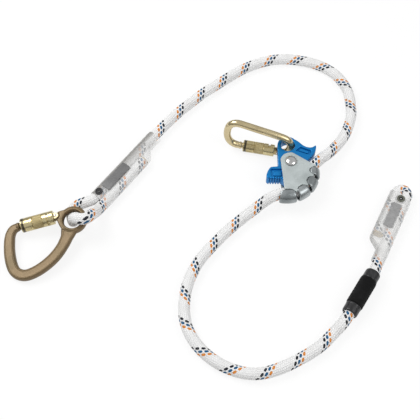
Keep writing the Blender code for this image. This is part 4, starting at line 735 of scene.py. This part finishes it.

# --------------------
# The adjuster's housing: two 3 mm aluminium plates on one riveted axle, blasted satin grey. The
# rear plate's edge is cut into four fingers, bent half round the rope to the front plate's bitten
# rim. The fingers' darker grey is painted dark reflection.
JOINTS = {joint["name"]: joint for joint in frame["record"]["behaviour"]["joints"]}
FINGER_CENTRE = np.subtract((0.1065, 0.0475), AXLE_ON_TABLE)
FINGER_BEND_RADIUS, FINGER_EDGE = 0.037, 0.0016
FINGER_SPANS = [(-103.0, -72.5), (-67.5, -45.0), (-39.5, -18.5), (-12.0, 5.5)]
FINGER_TIP, TIP_ROUNDING, TIP_FLAT_SHARE = 0.0032, 0.0050, 0.30
BITE_GAP, TOOTH_REACH, RIM_START = 0.0008, 0.0402, -98.4
TIP_REACHES, REAR_TIP_REACHES = np.array([1.0, 0.7, 0.35]), (0.0012, 0.0024)
TIP_THINNING = (0.30, 0.86, 1.0)
PLATE_INSIDE, PLATE_THICKNESS = 0.0085, 0.0030
PLATE_MIDDLE, PLATE_OUTSIDE = PLATE_INSIDE + PLATE_THICKNESS / 2, PLATE_INSIDE + PLATE_THICKNESS
PLATE_SHOULDER_RADIUS, AXLE_BORE = 0.0150, 0.0052
FRONT_CORNER, REAR_CORNER = (0.0350, -0.0068), (0.0188, 0.0075)
PLATE_PALE, PLATE_SHADE = (0.50, 0.55, 0.55), (0.36, 0.40, 0.40)
# The fingers are the plate's own aluminium; their darker colours are painted dark reflection.
FINGER_REFLECTION_PALE, FINGER_REFLECTION_DEEP = (0.40, 0.43, 0.44), (0.18, 0.20, 0.205)
RUBBED_METAL = (0.75, 0.77, 0.78)

axle_place = np.array(JOINTS["cam_turn"]["pos_m"]), np.eye(3)


def on_circle(centre, radius, degrees):
    """Flat points at a distance from a centre, at angles in degrees."""
    angle = np.radians(degrees)
    return np.stack([centre[0] + radius * np.cos(angle), centre[1] + radius * np.sin(angle)], 1)


def circle_arc(centre, radius, start, end, steps):
    """Flat points on a circle, from one angle to another."""
    return on_circle(centre, radius, np.linspace(start, end, steps))


def tip_reach(share):
    """How far a finger's rounded tip stands from the fingers' centre, by the share of its width."""
    past = np.clip(np.abs(share) - TIP_FLAT_SHARE, 0, 1)
    return FINGER_BEND_RADIUS - FINGER_TIP + TIP_ROUNDING * 2 * past**2


def plate_outline(bitten):
    """Round the axle, down the left edge and round the fingers' centre. A bitten rim follows each
    finger's tip at a small gap, and a tooth stands between two of them."""
    shoulder = circle_arc((0, 0), PLATE_SHOULDER_RADIUS, 78, 172, 20)
    if not bitten:
        rim = circle_arc(FINGER_CENTRE, FINGER_BEND_RADIUS - 0.0003, RIM_START, 6, 48)
        return np.vstack([shoulder, rim, REAR_CORNER])
    share = np.linspace(-1.06, 1.06, 13)
    rim = []
    for (low, high), (next_low, _) in zip(FINGER_SPANS, [*FINGER_SPANS[1:], (None, None)]):
        angle = (low + high) / 2 + share * (high - low) / 2
        kept = angle > RIM_START
        rim += list(zip(angle[kept], tip_reach(share[kept]) - BITE_GAP))
        if next_low is not None:
            rim.append(((high + next_low) / 2, TOOTH_REACH))
    angle, reach = np.transpose(rim)
    rim = on_circle(FINGER_CENTRE, reach, angle)
    rim = rounded(np.vstack([shoulder[-1:], rim, FRONT_CORNER]), 0.0009, 3)
    return np.vstack([shoulder[:-1], rim[3:]])


def bent_finger(low, high):
    """A rounded strip round the fingers' centre: its section is a half-round bend with straight
    tips, offset to both sides by half a thickness that falls off as a circle at the two edges."""
    share = np.sin(np.linspace(-math.pi / 2, math.pi / 2, 21))
    width = FINGER_BEND_RADIUS * math.radians(high - low) / 2
    fall = np.clip((np.abs(share) * width - (width - FINGER_EDGE)) / FINGER_EDGE, 0, 1)
    half = PLATE_THICKNESS / 2 * np.clip(np.sqrt(1 - fall**2), 0.08, 1)
    bend = np.linspace(math.pi / 2, -math.pi / 2, 21)
    tip = TIP_REACHES
    lean_r, lean_z = np.r_[0 * tip, np.cos(bend), 0, 0], np.r_[0 * tip + 1, np.sin(bend), -1, -1]
    middle_r = PLATE_MIDDLE * lean_r - np.r_[FINGER_TIP * tip, 0 * bend, REAR_TIP_REACHES]
    shorter = tip_reach(share) - FINGER_BEND_RADIUS + FINGER_TIP
    middle_r = middle_r + np.r_[tip, np.zeros(23)] * shorter[:, None]
    off = np.r_[TIP_THINNING, np.ones(23)] * half[:, None]
    outer, inner = (
        np.stack([middle_r + side * off * lean_r, PLATE_MIDDLE * lean_z + side * off * lean_z])
        for side in (1, -1)
    )
    r, z = np.concatenate([outer, inner[..., ::-1]], -1)
    angle = math.radians((low + high) / 2) + share[:, None] * math.radians(high - low) / 2
    local = circle(FINGER_BEND_RADIUS + r, z, angle) + (*FINGER_CENTRE, 0)
    return surface(into(axle_place, local), caps=True)


def blasted_metal(name, pale, shade, roughness, metallic):
    """Blasted and anodised aluminium: fine even pits, faint clouds, thin rubbed scratches."""
    metal = Finish(name)
    pits, clouds = metal.grain(2600.0, 2.0), metal.grain(38.0, 5.0)
    rubs = metal.span(metal.grain(120.0, 3.0, (1.0, 9.0, 1.0)), 0.62, 0.72)
    colour = metal.blend(metal.span(clouds, 0.3, 0.75), pale, shade)
    colour = metal.blend(rubs * 0.25, colour, RUBBED_METAL)
    metal.relief(pits, 0.25, 0.00012)
    rough = pits * 0.16 + (roughness - 0.08)
    return metal.set(Base_Color=colour, Metallic=metallic, Roughness=rough)


PLATE_METAL = blasted_metal("satin_blasted_plate", PLATE_PALE, PLATE_SHADE, 0.46, 0.35)
# The fingers' darker copy of the plate's colour is painted dark reflection; their glossier finish
# stays.
FINGER_REFLECTION_METAL = blasted_metal("bent_finger_painted_reflection", FINGER_REFLECTION_PALE, FINGER_REFLECTION_DEEP, 0.30, 0.75)
bore = [circle_arc((0, 0), AXLE_BORE, 0, 352.5, 48)]
front = slab(axle_place, plate_outline(True), PLATE_INSIDE, PLATE_OUTSIDE, 0.0007, bore)
rear = slab(axle_place, plate_outline(False), -PLATE_OUTSIDE, -PLATE_INSIDE, 0.0006, bore)
fingers = [bent_finger(*span) for span in FINGER_SPANS]
piece_of("bitten_front_plate", PLATE_METAL, [front], "plate", ("front_plate",))
piece_of("rear_side_plate", PLATE_METAL, [rear], "plate", ("rear_plate",))
piece_of("bent_fingers", FINGER_REFLECTION_METAL, fingers, "plate", ("rear_plate",), sharp=60)

# --------------------
# The axle: a stainless steel rivet through both plates with two domed, polished heads. The cam
# turns on it in a plain bronze bush.
HEAD_RADIUS, HEAD_HEIGHT, SHAFT_RADIUS = 0.0085, 0.0045, 0.0050
BRIGHT_STEEL, DULL_STEEL = (0.74, 0.74, 0.73), (0.50, 0.50, 0.50)
BUSH_BRONZE, BUSH_DARK = (0.62, 0.42, 0.18), (0.36, 0.22, 0.09)


def worked_metal(name, pale, dark, roughness):
    """Turned or drawn metal: colour clouds, fine rings, and a roughness that varies a little."""
    metal = Finish(name)
    clouds = metal.grain(60.0, 5.0)
    colour = metal.blend(metal.span(clouds, 0.35, 0.72), pale, dark)
    metal.relief(metal.grain(1800.0, 3.0), 0.10, 0.0001)
    return metal.set(Base_Color=colour, Metallic=1.0, Roughness=clouds * 0.10 + (roughness - 0.04))


STEEL = worked_metal("polished_steel", BRIGHT_STEEL, DULL_STEEL, 0.17)
BRONZE = worked_metal("plain_bronze_bush", BUSH_BRONZE, BUSH_DARK, 0.38)
dome = np.radians(np.linspace(2, 78, 16))
head = np.stack([HEAD_RADIUS * np.sin(dome), PLATE_OUTSIDE + HEAD_HEIGHT * np.cos(dome)], 1)
foot = PLATE_OUTSIDE + 0.0001
brim = [(HEAD_RADIUS, foot + 0.0005), (HEAD_RADIUS - 0.0004, foot), (SHAFT_RADIUS, foot)]
half_axle = np.vstack([head, brim])
rivet = turned(axle_place, np.vstack([half_axle * (1, -1), half_axle[::-1]]), 96, solid=True)
piece_of("riveted_axle", STEEL, [rivet], "axle", ("axle",))
frame["nodes"]["cam_bush"].material_slots[0].material = BRONZE

# --------------------
# The cam lever: one forged aluminium part, blue anodised. It has an eye for the small carabiner,
# a horn with a sunk panel, a ribbed thumb block, and a jaw between the plates that follows the
# rope.
CAM_HEIGHT, CAM_HALF = 0.075, 0.008
CAM_EYE = np.array([-0.0387, 0.3960]) * CAM_HEIGHT
EYE_RADIUS, EYE_WALL, BUSH_BORE = 0.0100, 0.0048, 0.0069
ROPE_BEND_CENTRE, ROPE_BEND_RADIUS = np.array([0.1070, 0.0500]), 0.036
JAW_ANGLES, JAW_LEAD, JAW_CLEARANCE = (-104, -22), 10, 0.0030
HORN_SHARES = [
    (0.363, 0.104), (0.440, 0.185), (0.490, 0.275), (0.508, 0.409), (0.436, 0.357),
    (0.382, 0.343), (0.289, 0.369), (0.225, 0.425), (0.176, 0.480),
]
WEB_SHARES = [(-0.236, 0.300), (-0.236, 0.150), (-0.236, -0.030), (-0.239, -0.081)]
THUMB_SHARES = [
    (-0.385, -0.093), (-0.437, -0.173), (-0.471, -0.270), (-0.468, -0.330), (-0.430, -0.356),
]
THUMB_END_SHARE = (-0.190, -0.352)
RIB_PITCH, RIB_GAP, RIB_DEPTH, RIBS = 0.0036, 0.0013, 0.0020, 5
PANEL_DEPTH, ISLAND_DROP = 0.0030, 0.0012
PANEL_SHARES = [
    [(0.200, 0.360), (0.405, 0.272), (0.365, 0.180), (0.110, 0.275)],
    [(-0.385, -0.140), (-0.170, -0.140), (-0.170, -0.305), (-0.375, -0.305)],
]
ISLAND_SHARES = [
    [(0.205, 0.328), (0.360, 0.262), (0.340, 0.215), (0.150, 0.278)],
    [(-0.340, -0.190), (-0.185, -0.190), (-0.185, -0.285), (-0.335, -0.285)],
]
CAM_BLUE, CAM_DEEP, CAM_WORN = (0.0, 0.185, 0.50), (0.0, 0.085, 0.29), (0.02, 0.27, 0.62)
SQUARE_EDGE, CAM_EDGE, ISLAND_EDGE, ISLAND_SINK = 0.00001, 0.0011, 0.0009, 0.0002
LOOSE_ROUND, CREST_ROUND, PANEL_ROUND, ISLAND_ROUND = 0.0022, 0.0040, 0.0014, 0.0012


def cam_outline():
    """Jaw, horn, eye boss, web and thumb block. The jaw's reach at an angle is the rope's distance
    from the axle, less its clearance, at that angle turned on by the jaw's lead."""
    degrees = np.linspace(*JAW_ANGLES, 40)
    ahead = np.radians(degrees + JAW_LEAD)
    off = AXLE_ON_TABLE - ROPE_BEND_CENTRE
    forward = off[0] * np.cos(ahead) + off[1] * np.sin(ahead)
    inside = ROPE_BEND_RADIUS - ROPE_RADIUS
    reach = np.sqrt(forward**2 + inside**2 - off @ off) - forward - JAW_CLEARANCE
    jaw = on_circle((0, 0), reach, degrees)
    shapes = (HORN_SHARES, WEB_SHARES, THUMB_SHARES, THUMB_END_SHARE)
    horn, web, thumb, end = (np.array(shares) * CAM_HEIGHT for shares in shapes)
    boss = circle_arc(CAM_EYE, EYE_RADIUS + EYE_WALL, 50, 190, 36)
    rib = np.array([(0, 0), (0, RIB_DEPTH), (RIB_GAP, RIB_DEPTH), (RIB_GAP, 0)])
    ribs = [rib + (thumb[3, 0] + RIB_PITCH * (1 + k), thumb[-1, 1]) for k in range(RIBS)]
    loose = rounded(np.vstack([boss[-1:], web, thumb, *ribs, end, jaw[:1]]), LOOSE_ROUND, 5)
    crest = rounded(np.vstack([jaw[-1:], horn, boss[:1]]), CREST_ROUND, 7)
    return np.vstack([jaw[1:-1], crest[3:-3], boss[1:-1], loose[3:-3]])


def anodised(name, colours, metallic, roughness, coat_share=0.2):
    """Dyed anodising over forged metal: deeper in clouds, rubbed paler in fine flecks, satin."""
    base, deep, worn = colours
    coat = Finish(name)
    clouds, flecks = coat.grain(30.0, 5.0), coat.grain(420.0, 5.0)
    colour = coat.blend(coat.span(clouds, 0.45, 0.8, 0.0, 0.55), base, deep)
    colour = coat.blend(coat.span(flecks, 0.62, 0.78, 0.0, 0.45), colour, worn)
    coat.relief(flecks + clouds * 2.0, 0.12, 0.0003)
    rough = flecks * 0.14 + (roughness - 0.05)
    return coat.set(
        Base_Color=colour, Metallic=metallic, Roughness=rough, Coat_Weight=coat_share,
        Coat_Roughness=0.25,
    )


CAM_ANODISED = anodised("blue_anodised_cam", (CAM_BLUE, CAM_DEEP, CAM_WORN), 0.55, 0.34, 0.05)
outline = cam_outline()
bores = [circle_arc((0, 0), BUSH_BORE, 0, 354, 60), circle_arc(CAM_EYE, EYE_RADIUS, 0, 355, 72)]
panels, islands = (
    [rounded(np.array(corners) * CAM_HEIGHT, radius, 4) for corners in shares]
    for shares, radius in ((PANEL_SHARES, PANEL_ROUND), (ISLAND_SHARES, ISLAND_ROUND))
)
floor, island_top = CAM_HALF - PANEL_DEPTH, CAM_HALF - ISLAND_DROP
lever = [
    slab(axle_place, outline, -CAM_HALF, floor, SQUARE_EDGE, bores, CAM_EDGE),
    slab(axle_place, outline, floor, CAM_HALF, CAM_EDGE, [*bores, *panels], SQUARE_EDGE),
    *(slab(axle_place, spot, floor - ISLAND_SINK, island_top, ISLAND_EDGE) for spot in islands),
]
piece_of("forged_cam_lever", CAM_ANODISED, lever, "cam", ("cam_lever",), "cam")

# --------------------
# Both carabiners' gates: a forked rod on a hinge pin, a spring plunger behind it, and a lock
# barrel that twists on the rod. The barrel has slotted glossy ends and a matt knurled band.
BARREL_STEPS_LONG, BARREL_STEPS_ROUND, BORE_STEPS = 230, 220, 12
BARREL_END_ROUND, BARREL_AIR = 0.0009, 0.0002
KNURLS_ROUND, KNURL_PITCH, KNURL_DEPTH = 34, 0.0021, 0.00055
KNURL_BAND, KNURL_BORDERS = (0.352, 0.628), ((0.330, 0.352), (0.628, 0.650))
SLOT_BAND, SLOT_DEGREES = (0.135, 0.205), (-14, 104)
FLUTE_BAND, FLUTE_TURNS, FLUTE_DEGREES = (0.70, 0.895), (-24, 24, 96, -96, 180), (-10, 10)
LAST_GROOVE = (0.905, 0.925)
BORDER_DEPTH, SLOT_DEPTH, GROOVE_DEPTH, FLUTE_DEPTH = 0.0006, 0.0022, 0.0004, 0.0010
PIN_SHARE, CHEEK_SHARE, FORK_AIR = 0.32, 0.93, 0.0002
BARREL_GOLD, BARREL_DEEP, BARREL_DARK = (0.66, 0.57, 0.33), (0.43, 0.35, 0.18), (0.06, 0.055, 0.045)
ROD_GOLD, ROD_DARK = (0.62, 0.52, 0.30), (0.40, 0.31, 0.16)


class GatePlace:
    """Where one gate hangs and its sizes: X runs from the hinge pin to the nose, Z up the pin."""

    def __init__(self, joint, prefix, rod, length, barrel, start, reach, head):
        x = -np.array(JOINTS[f"{joint}_lock_twist"]["axis"], float)
        z = np.array(JOINTS[f"{joint}_gate_open"]["axis"], float)
        origin, y = np.array(JOINTS[f"{joint}_gate_open"]["pos_m"], float), np.cross(z, x)
        self.flat, self.round = (origin, np.array([x, y, z])), (origin, np.array([y, z, x]))
        self.joint, self.prefix, self.rod, self.length = joint, prefix, rod, length
        self.barrel, self.start, self.end, self.head = barrel / 2, start, start + reach, head
        self.fork, self.tongue_half = rod * 1.04, rod * 0.45
        self.pin_hole = circle_arc((0, 0), rod * PIN_SHARE + 0.0001, 0, 345, 24)


def window(value, span, soft):
    """1 between two values and 0 outside them, with straight sides of a soft width."""
    return np.clip((value - span[0]) / soft, 0, 1) * np.clip((span[1] - value) / soft, 0, 1)


def lock_barrel(gate):
    """A tube whose outer radius is lowered by quarter-round ends, two border grooves, a diamond
    knurl (the product of two slanted zigzags), a slot part of the way round, and flutes."""
    x = np.linspace(gate.start, gate.end, BARREL_STEPS_LONG)[:, None]
    angle = np.linspace(0, 2 * math.pi, BARREL_STEPS_ROUND, endpoint=False)
    degrees = (np.degrees(angle) + 180) % 360 - 180
    share = (x - gate.start) / (gate.end - gate.start)
    past = np.clip(1 - np.minimum(x - gate.start, gate.end - x) / BARREL_END_ROUND, 0, 1)
    drop = BARREL_END_ROUND * (1 - np.sqrt(1 - past**2)) + 0 * angle
    drop += BORDER_DEPTH * sum(window(share, border, 0.008) for border in KNURL_BORDERS)
    zigzags = [
        np.abs((angle / (2 * math.pi) * KNURLS_ROUND + lay * x / KNURL_PITCH) % 1 - 0.5) * 2
        for lay in (1, -1)
    ]
    drop += KNURL_DEPTH * window(share, KNURL_BAND, 0.006) * (1 - zigzags[0] * zigzags[1])
    drop += SLOT_DEPTH * window(share, SLOT_BAND, 0.010) * window(degrees, SLOT_DEGREES, 3)
    drop += GROOVE_DEPTH * window(share, LAST_GROOVE, 0.006)
    for turn in FLUTE_TURNS:
        around = np.abs((np.degrees(angle) - turn + 180) % 360 - 180)
        drop += FLUTE_DEPTH * window(share, FLUTE_BAND, 0.012) * window(around, FLUTE_DEGREES, 3)
    back = np.linspace(gate.end, gate.start, BORE_STEPS)[:, None]
    r = np.concatenate([gate.barrel - drop, gate.rod + BARREL_AIR + 0 * back + 0 * angle])
    u = np.r_[share[:, 0], np.linspace(1, 0, BORE_STEPS), 0]
    uv = u, np.linspace(0, 1, BARREL_STEPS_ROUND + 1)
    return surface(into(gate.round, circle(r, np.concatenate([x, back]), angle)), along=True, uv=uv)


def gate_rod(gate):
    """The rod from the fork's root to the nose, with a rounded nose end, and the fork's cheeks."""
    rod, root = gate.rod, gate.fork + 0.0005
    profile = [
        (rod * 0.98, root), (rod, root + 0.0002), (rod, gate.length - 0.0006),
        (rod - 0.0002, gate.length - 0.0002), (rod - 0.0006, gate.length),
    ]
    corners = [(root + 0.0003, -gate.fork), (root + 0.0003, gate.fork)]
    cheek = np.vstack([circle_arc((0, 0), gate.fork, 90, 270, 24), corners]) * (1, 0.86)
    low, high = gate.tongue_half + FORK_AIR, rod * CHEEK_SHARE
    return [turned(gate.round, profile, solid=True)] + [
        slab(gate.flat, cheek, *z, 0.0007, [gate.pin_hole]) for z in ((low, high), (-high, -low))
    ]


def hinge_pin(gate):
    """A riveted pin through fork and tongue with two low domed heads."""
    head, top = gate.head, gate.rod * CHEEK_SHARE
    side = np.array([
        (head * 0.15, top + 0.00075), (head * 0.6, top + 0.0007), (head * 0.88, top + 0.00045),
        (head, top + 0.00005), (gate.rod * PIN_SHARE, top + 0.00002),
    ])
    return turned(gate.flat, np.vstack([side * (1, -1), side[::-1]]), 40, solid=True)


def barrel_gold():
    """Yellow-gold anodising: glossy ends, a matt knurled band, a darkened stretch by the nose."""
    gold = Finish("yellow_gold_barrel")
    share = gold.uv_part("X")
    band = gold.span(share, 0.345, 0.355) * gold.span(share, 0.625, 0.635, 1.0, 0.0)
    dark = gold.span(share, 0.885, 0.905) * gold.span(share, 0.965, 0.975, 1.0, 0.0)
    clouds = gold.grain(50.0, 5.0)
    colour = gold.blend(gold.span(clouds, 0.35, 0.75), BARREL_GOLD, BARREL_DEEP)
    colour = gold.blend(band * 0.55, colour, BARREL_DEEP)
    colour = gold.blend(dark * 0.9, colour, BARREL_DARK)
    gold.relief(gold.grain(1500.0, 3.0), 0.12, 0.0002)
    return gold.set(Base_Color=colour, Metallic=0.92, Roughness=band * 0.30 + 0.20 + clouds * 0.08)


small_gate = GatePlace("small", "oval", 0.0046, 0.0531, 0.0174, 0.0054, 0.0457, 0.0026)
eye_gate = GatePlace("eye", "hook", 0.0050, 0.0501, 0.0196, 0.0022, 0.0460, 0.0020)
BARREL = barrel_gold()
ROD_METAL = worked_metal("gate_rod_metal", ROD_GOLD, ROD_DARK, 0.30)
PIN_METAL = worked_metal("hinge_pin_steel", BRIGHT_STEEL, DULL_STEEL, 0.22)
for gate in (small_gate, eye_gate):
    for part, material, surfaces, slot, node, body in (
        ("lock_barrel", BARREL, [lock_barrel(gate)], "hook_barrel", "lock_sleeve", "lock"),
        ("gate_rod", ROD_METAL, gate_rod(gate), f"{gate.prefix}_metal", "gate", "gate"),
        ("hinge_pin", PIN_METAL, [hinge_pin(gate)], "steel", "gate_pin", "carabiner"),
    ):
        piece_of(
            f"{gate.joint}_{part}", material, surfaces, slot, (f"{gate.prefix}_{node}",),
            f"{gate.joint}_{body}", 35 if part == "lock_barrel" else 50,
        )
    for inside in ("gate_plunger", "gate_spring", "guide_pin", "sleeve_spring"):
        frame["nodes"][f"{gate.prefix}_{inside}"].material_slots[0].material = STEEL

# --------------------
# The eye carabiner's frame: drop-forged alloy, bronze anodised. A sunk panel runs along each face
# of its bar between two rims, and at its end sits a thick closed ring that holds the rope's eye.
HOOK_SPAN = 0.100
HOOK_LEAN, HOOK_LEAN_AXIS = math.radians(8.5), (0.742, -0.671, 0.0)
HOOK_HALF_WIDTH, HOOK_HALF_HEIGHT = 0.0073, 0.0056
RING_OUTSIDE, RING_INSIDE, RING_HALF = 0.0196, 0.0132, 0.0050
HOOK_SHARES = [
    (-0.762, -0.070), (-0.818, -0.098), (-0.855, -0.165), (-0.864, -0.275), (-0.847, -0.440),
    (-0.805, -0.602), (-0.730, -0.728), (-0.617, -0.773), (-0.495, -0.743), (-0.345, -0.650),
    (-0.208, -0.515), (-0.112, -0.360), (-0.062, -0.225), (-0.045, -0.155),
]
HOOK_WIDTHS = [
    (0, 0.74), (0.04, 0.86), (0.14, 1.0), (0.30, 1.05), (0.86, 1.05), (0.94, 1.16), (1, 1.55),
]
HOOK_HEIGHTS = [(0, 0.80), (0.12, 1.0), (0.82, 1.0), (0.93, 0.84), (1, 0.64)]
HOOK_PIN_SHARE = (-0.2475, 0.0615)
LUG_LEFT = [(-0.0122, 0.0146), (-0.0200, 0.0126)]
LUG_RIGHT = [(-0.0206, -0.003), (-0.0178, -0.0085), (-0.014, -0.0145), (-0.009, -0.016)]
BAR_STEP = 0.0009
HOOK_BRONZES = (0.172, 0.118, 0.058), (0.092, 0.072, 0.030), (0.40, 0.27, 0.16)

hook_turn = np.array(Matrix.Rotation(HOOK_LEAN, 3, Vector(HOOK_LEAN_AXIS)))
hook_place = np.array(JOINTS["eye_carabiner_swing"]["pos_m"]), hook_turn.T
PANELLED = rounded(
    [
        (1, -0.34), (1, 0.34), (0.84, 0.84), (0.66, 1.0), (0.54, 0.90), (-0.54, 0.90), (-0.66, 1.0),
        (-0.84, 0.84), (-1, 0.34), (-1, -0.34), (-0.84, -0.84), (-0.66, -1.0), (-0.54, -0.90),
        (0.54, -0.90), (0.66, -1.0), (0.84, -0.84),
    ],
    0.13, 4,
)


def bar_along(place, route, section, half_width, widths, half_height, heights):
    """A section carried along a flat smooth path, square to it. Its half width and half height
    follow the shares given for shares of the path's length."""
    points, along = even_stations(smooth_line(np.pad(route, ((0, 0), (0, 1)))), BAR_STEP)
    tangent = np.gradient(points, axis=0)
    tangent /= np.linalg.norm(tangent, axis=1)[:, None]
    side = np.cross((0, 0, 1), tangent)
    share = along / along[-1]
    wide = section[:, 0] * half_width * np.interp(share, *np.transpose(widths))[:, None]
    high = section[:, 1] * half_height * np.interp(share, *np.transpose(heights))[:, None]
    local = points[:, None] + side[:, None] * wide[..., None] + (high[..., None] * (0, 0, 1))
    return surface(into(place, local), caps=True)


def hook_ring():
    """A closed profile turned round the ring's middle: raised inner lip, slanted step, rim."""
    upper = [
        (RING_INSIDE, 0.0034), (RING_INSIDE + 0.0012, RING_HALF), (RING_INSIDE + 0.0030, RING_HALF),
        (RING_INSIDE + 0.0038, RING_HALF - 0.0009), (RING_OUTSIDE - 0.0008, RING_HALF - 0.0012),
        (RING_OUTSIDE, RING_HALF - 0.0022),
    ]
    lower = [(r, -z) for r, z in upper[::-1]]
    return turned(hook_place, rounded(upper + lower, 0.0009), 120)


def hook_lug():
    """The lug between ring and hinge, with a round bite for the gate's fork."""
    bite = circle_arc(np.array(HOOK_PIN_SHARE) * HOOK_SPAN, eye_gate.fork + 0.0006, 58, -62, 14)
    back = circle_arc((0, 0), RING_INSIDE + 0.0012, 236, 130, 14)
    outline = rounded(np.vstack([LUG_LEFT, bite, LUG_RIGHT, back]), 0.0009, 3)
    return slab(hook_place, outline, -RING_HALF * 0.93, RING_HALF * 0.93, 0.0016)


def hinge_tongue(gate):
    """The tongue that stands in the gate's fork, round about the pin."""
    radius, back = gate.rod * 0.90, gate.fork + 0.0024
    root = [(-back, -radius), (-back, radius)]
    outline = np.vstack([circle_arc((0, 0), radius, 90, -90, 16), root])
    return slab(gate.flat, outline, -gate.tongue_half, gate.tongue_half, 0.0004, [gate.pin_hole])


def nose_collar(gate):
    """The collar on the nose that the gate closes against, turned about the gate's own line."""
    face, rod = gate.length + 0.0004, gate.rod
    steps = [(1.12, 0.16), (1.16, 0.28), (1.16, 0.66), (1.10, 0.80), (0.96, 0.90)]
    lip = [(rod * 0.78, face), (rod * 0.98, face + 0.0002)]
    profile = lip + [(rod * out, face + rod * rise) for out, rise in steps]
    return turned(gate.round, profile, solid=True)


HOOK_ANODISED = anodised("bronze_anodised_hook", HOOK_BRONZES, 0.45, 0.42, 0.05)
bar = bar_along(
    hook_place, np.array(HOOK_SHARES) * HOOK_SPAN, PANELLED, HOOK_HALF_WIDTH, HOOK_WIDTHS,
    HOOK_HALF_HEIGHT, HOOK_HEIGHTS,
)
hook = [bar, hook_ring(), hook_lug(), hinge_tongue(eye_gate), nose_collar(eye_gate)]
piece_of("forged_eye_hook", HOOK_ANODISED, hook, "hook_metal", ("hook_frame",), "eye_carabiner", 42)

# --------------------
# The small carabiner's frame: round alloy bar bent to an offset D, pale gold anodised and glossy.
# It hangs in the cam's eye, and its gate's tongue and nose collar stand on the bar's two ends.
OVAL_SPAN, OVAL_PIN, OVAL_HALF_BAR = 0.100, 0.0785, 0.00525
OVAL_SHARES = [
    (0.225, 0.000), (0.180, 0.003), (0.110, 0.030), (0.055, 0.095), (0.028, 0.200), (0.034, 0.320),
    (0.076, 0.425), (0.150, 0.468), (0.250, 0.460), (0.540, 0.392), (0.820, 0.322), (0.905, 0.280),
    (0.950, 0.190), (0.940, 0.090), (0.895, 0.020), (0.845, 0.000),
]
OVAL_WIDTHS = [(0, 0.86), (0.03, 1.0), (0.97, 1.0), (1, 0.90)]
OVAL_GOLDS = (0.62, 0.52, 0.31), (0.38, 0.29, 0.14), (0.84, 0.77, 0.60)

oval_axes = small_gate.flat[1] * np.array([[-1], [1], [-1]])
oval_place = small_gate.flat[0] - OVAL_PIN * oval_axes[0], oval_axes
ROUND_BAR = on_circle((0, 0), 1, np.linspace(0, 360, 40, endpoint=False))
OVAL_ANODISED = anodised("pale_gold_anodised_bar", OVAL_GOLDS, 0.92, 0.20)
bar = bar_along(
    oval_place, np.array(OVAL_SHARES) * OVAL_SPAN, ROUND_BAR, OVAL_HALF_BAR, OVAL_WIDTHS,
    OVAL_HALF_BAR, OVAL_WIDTHS,
)
piece_of(
    "bent_small_carabiner", OVAL_ANODISED, [bar, hinge_tongue(small_gate), nose_collar(small_gate)],
    "oval_metal", ("oval_frame",), "small_carabiner",
)

# --------------------
# How the rope lies: two cords meet in the adjuster. One ends round the hook's ring and back in
# its sleeve, the other runs through the grip to the second sleeve.
EYE_THINGS = ("eye_film_sleeve", "eye_mottled_label", "eye_token", "eye_melted_tip")
GRIP_THINGS = (
    "ribbed_grip", "moulded_grip_collar_lower", "moulded_grip_collar_upper", "rope_end_fold",
    "end_film_sleeve", "end_mottled_label", "end_token", "end_melted_tip",
)
for rope, points, along, things in (
    (rope_to_eye, eye_points, eye_along, EYE_THINGS),
    (rope_to_grip, end_points, end_along, GRIP_THINGS),
):
    tuple(points[0])
    [tuple(p) for p in points[::6]]
    [scene.objects[name] for name in things]
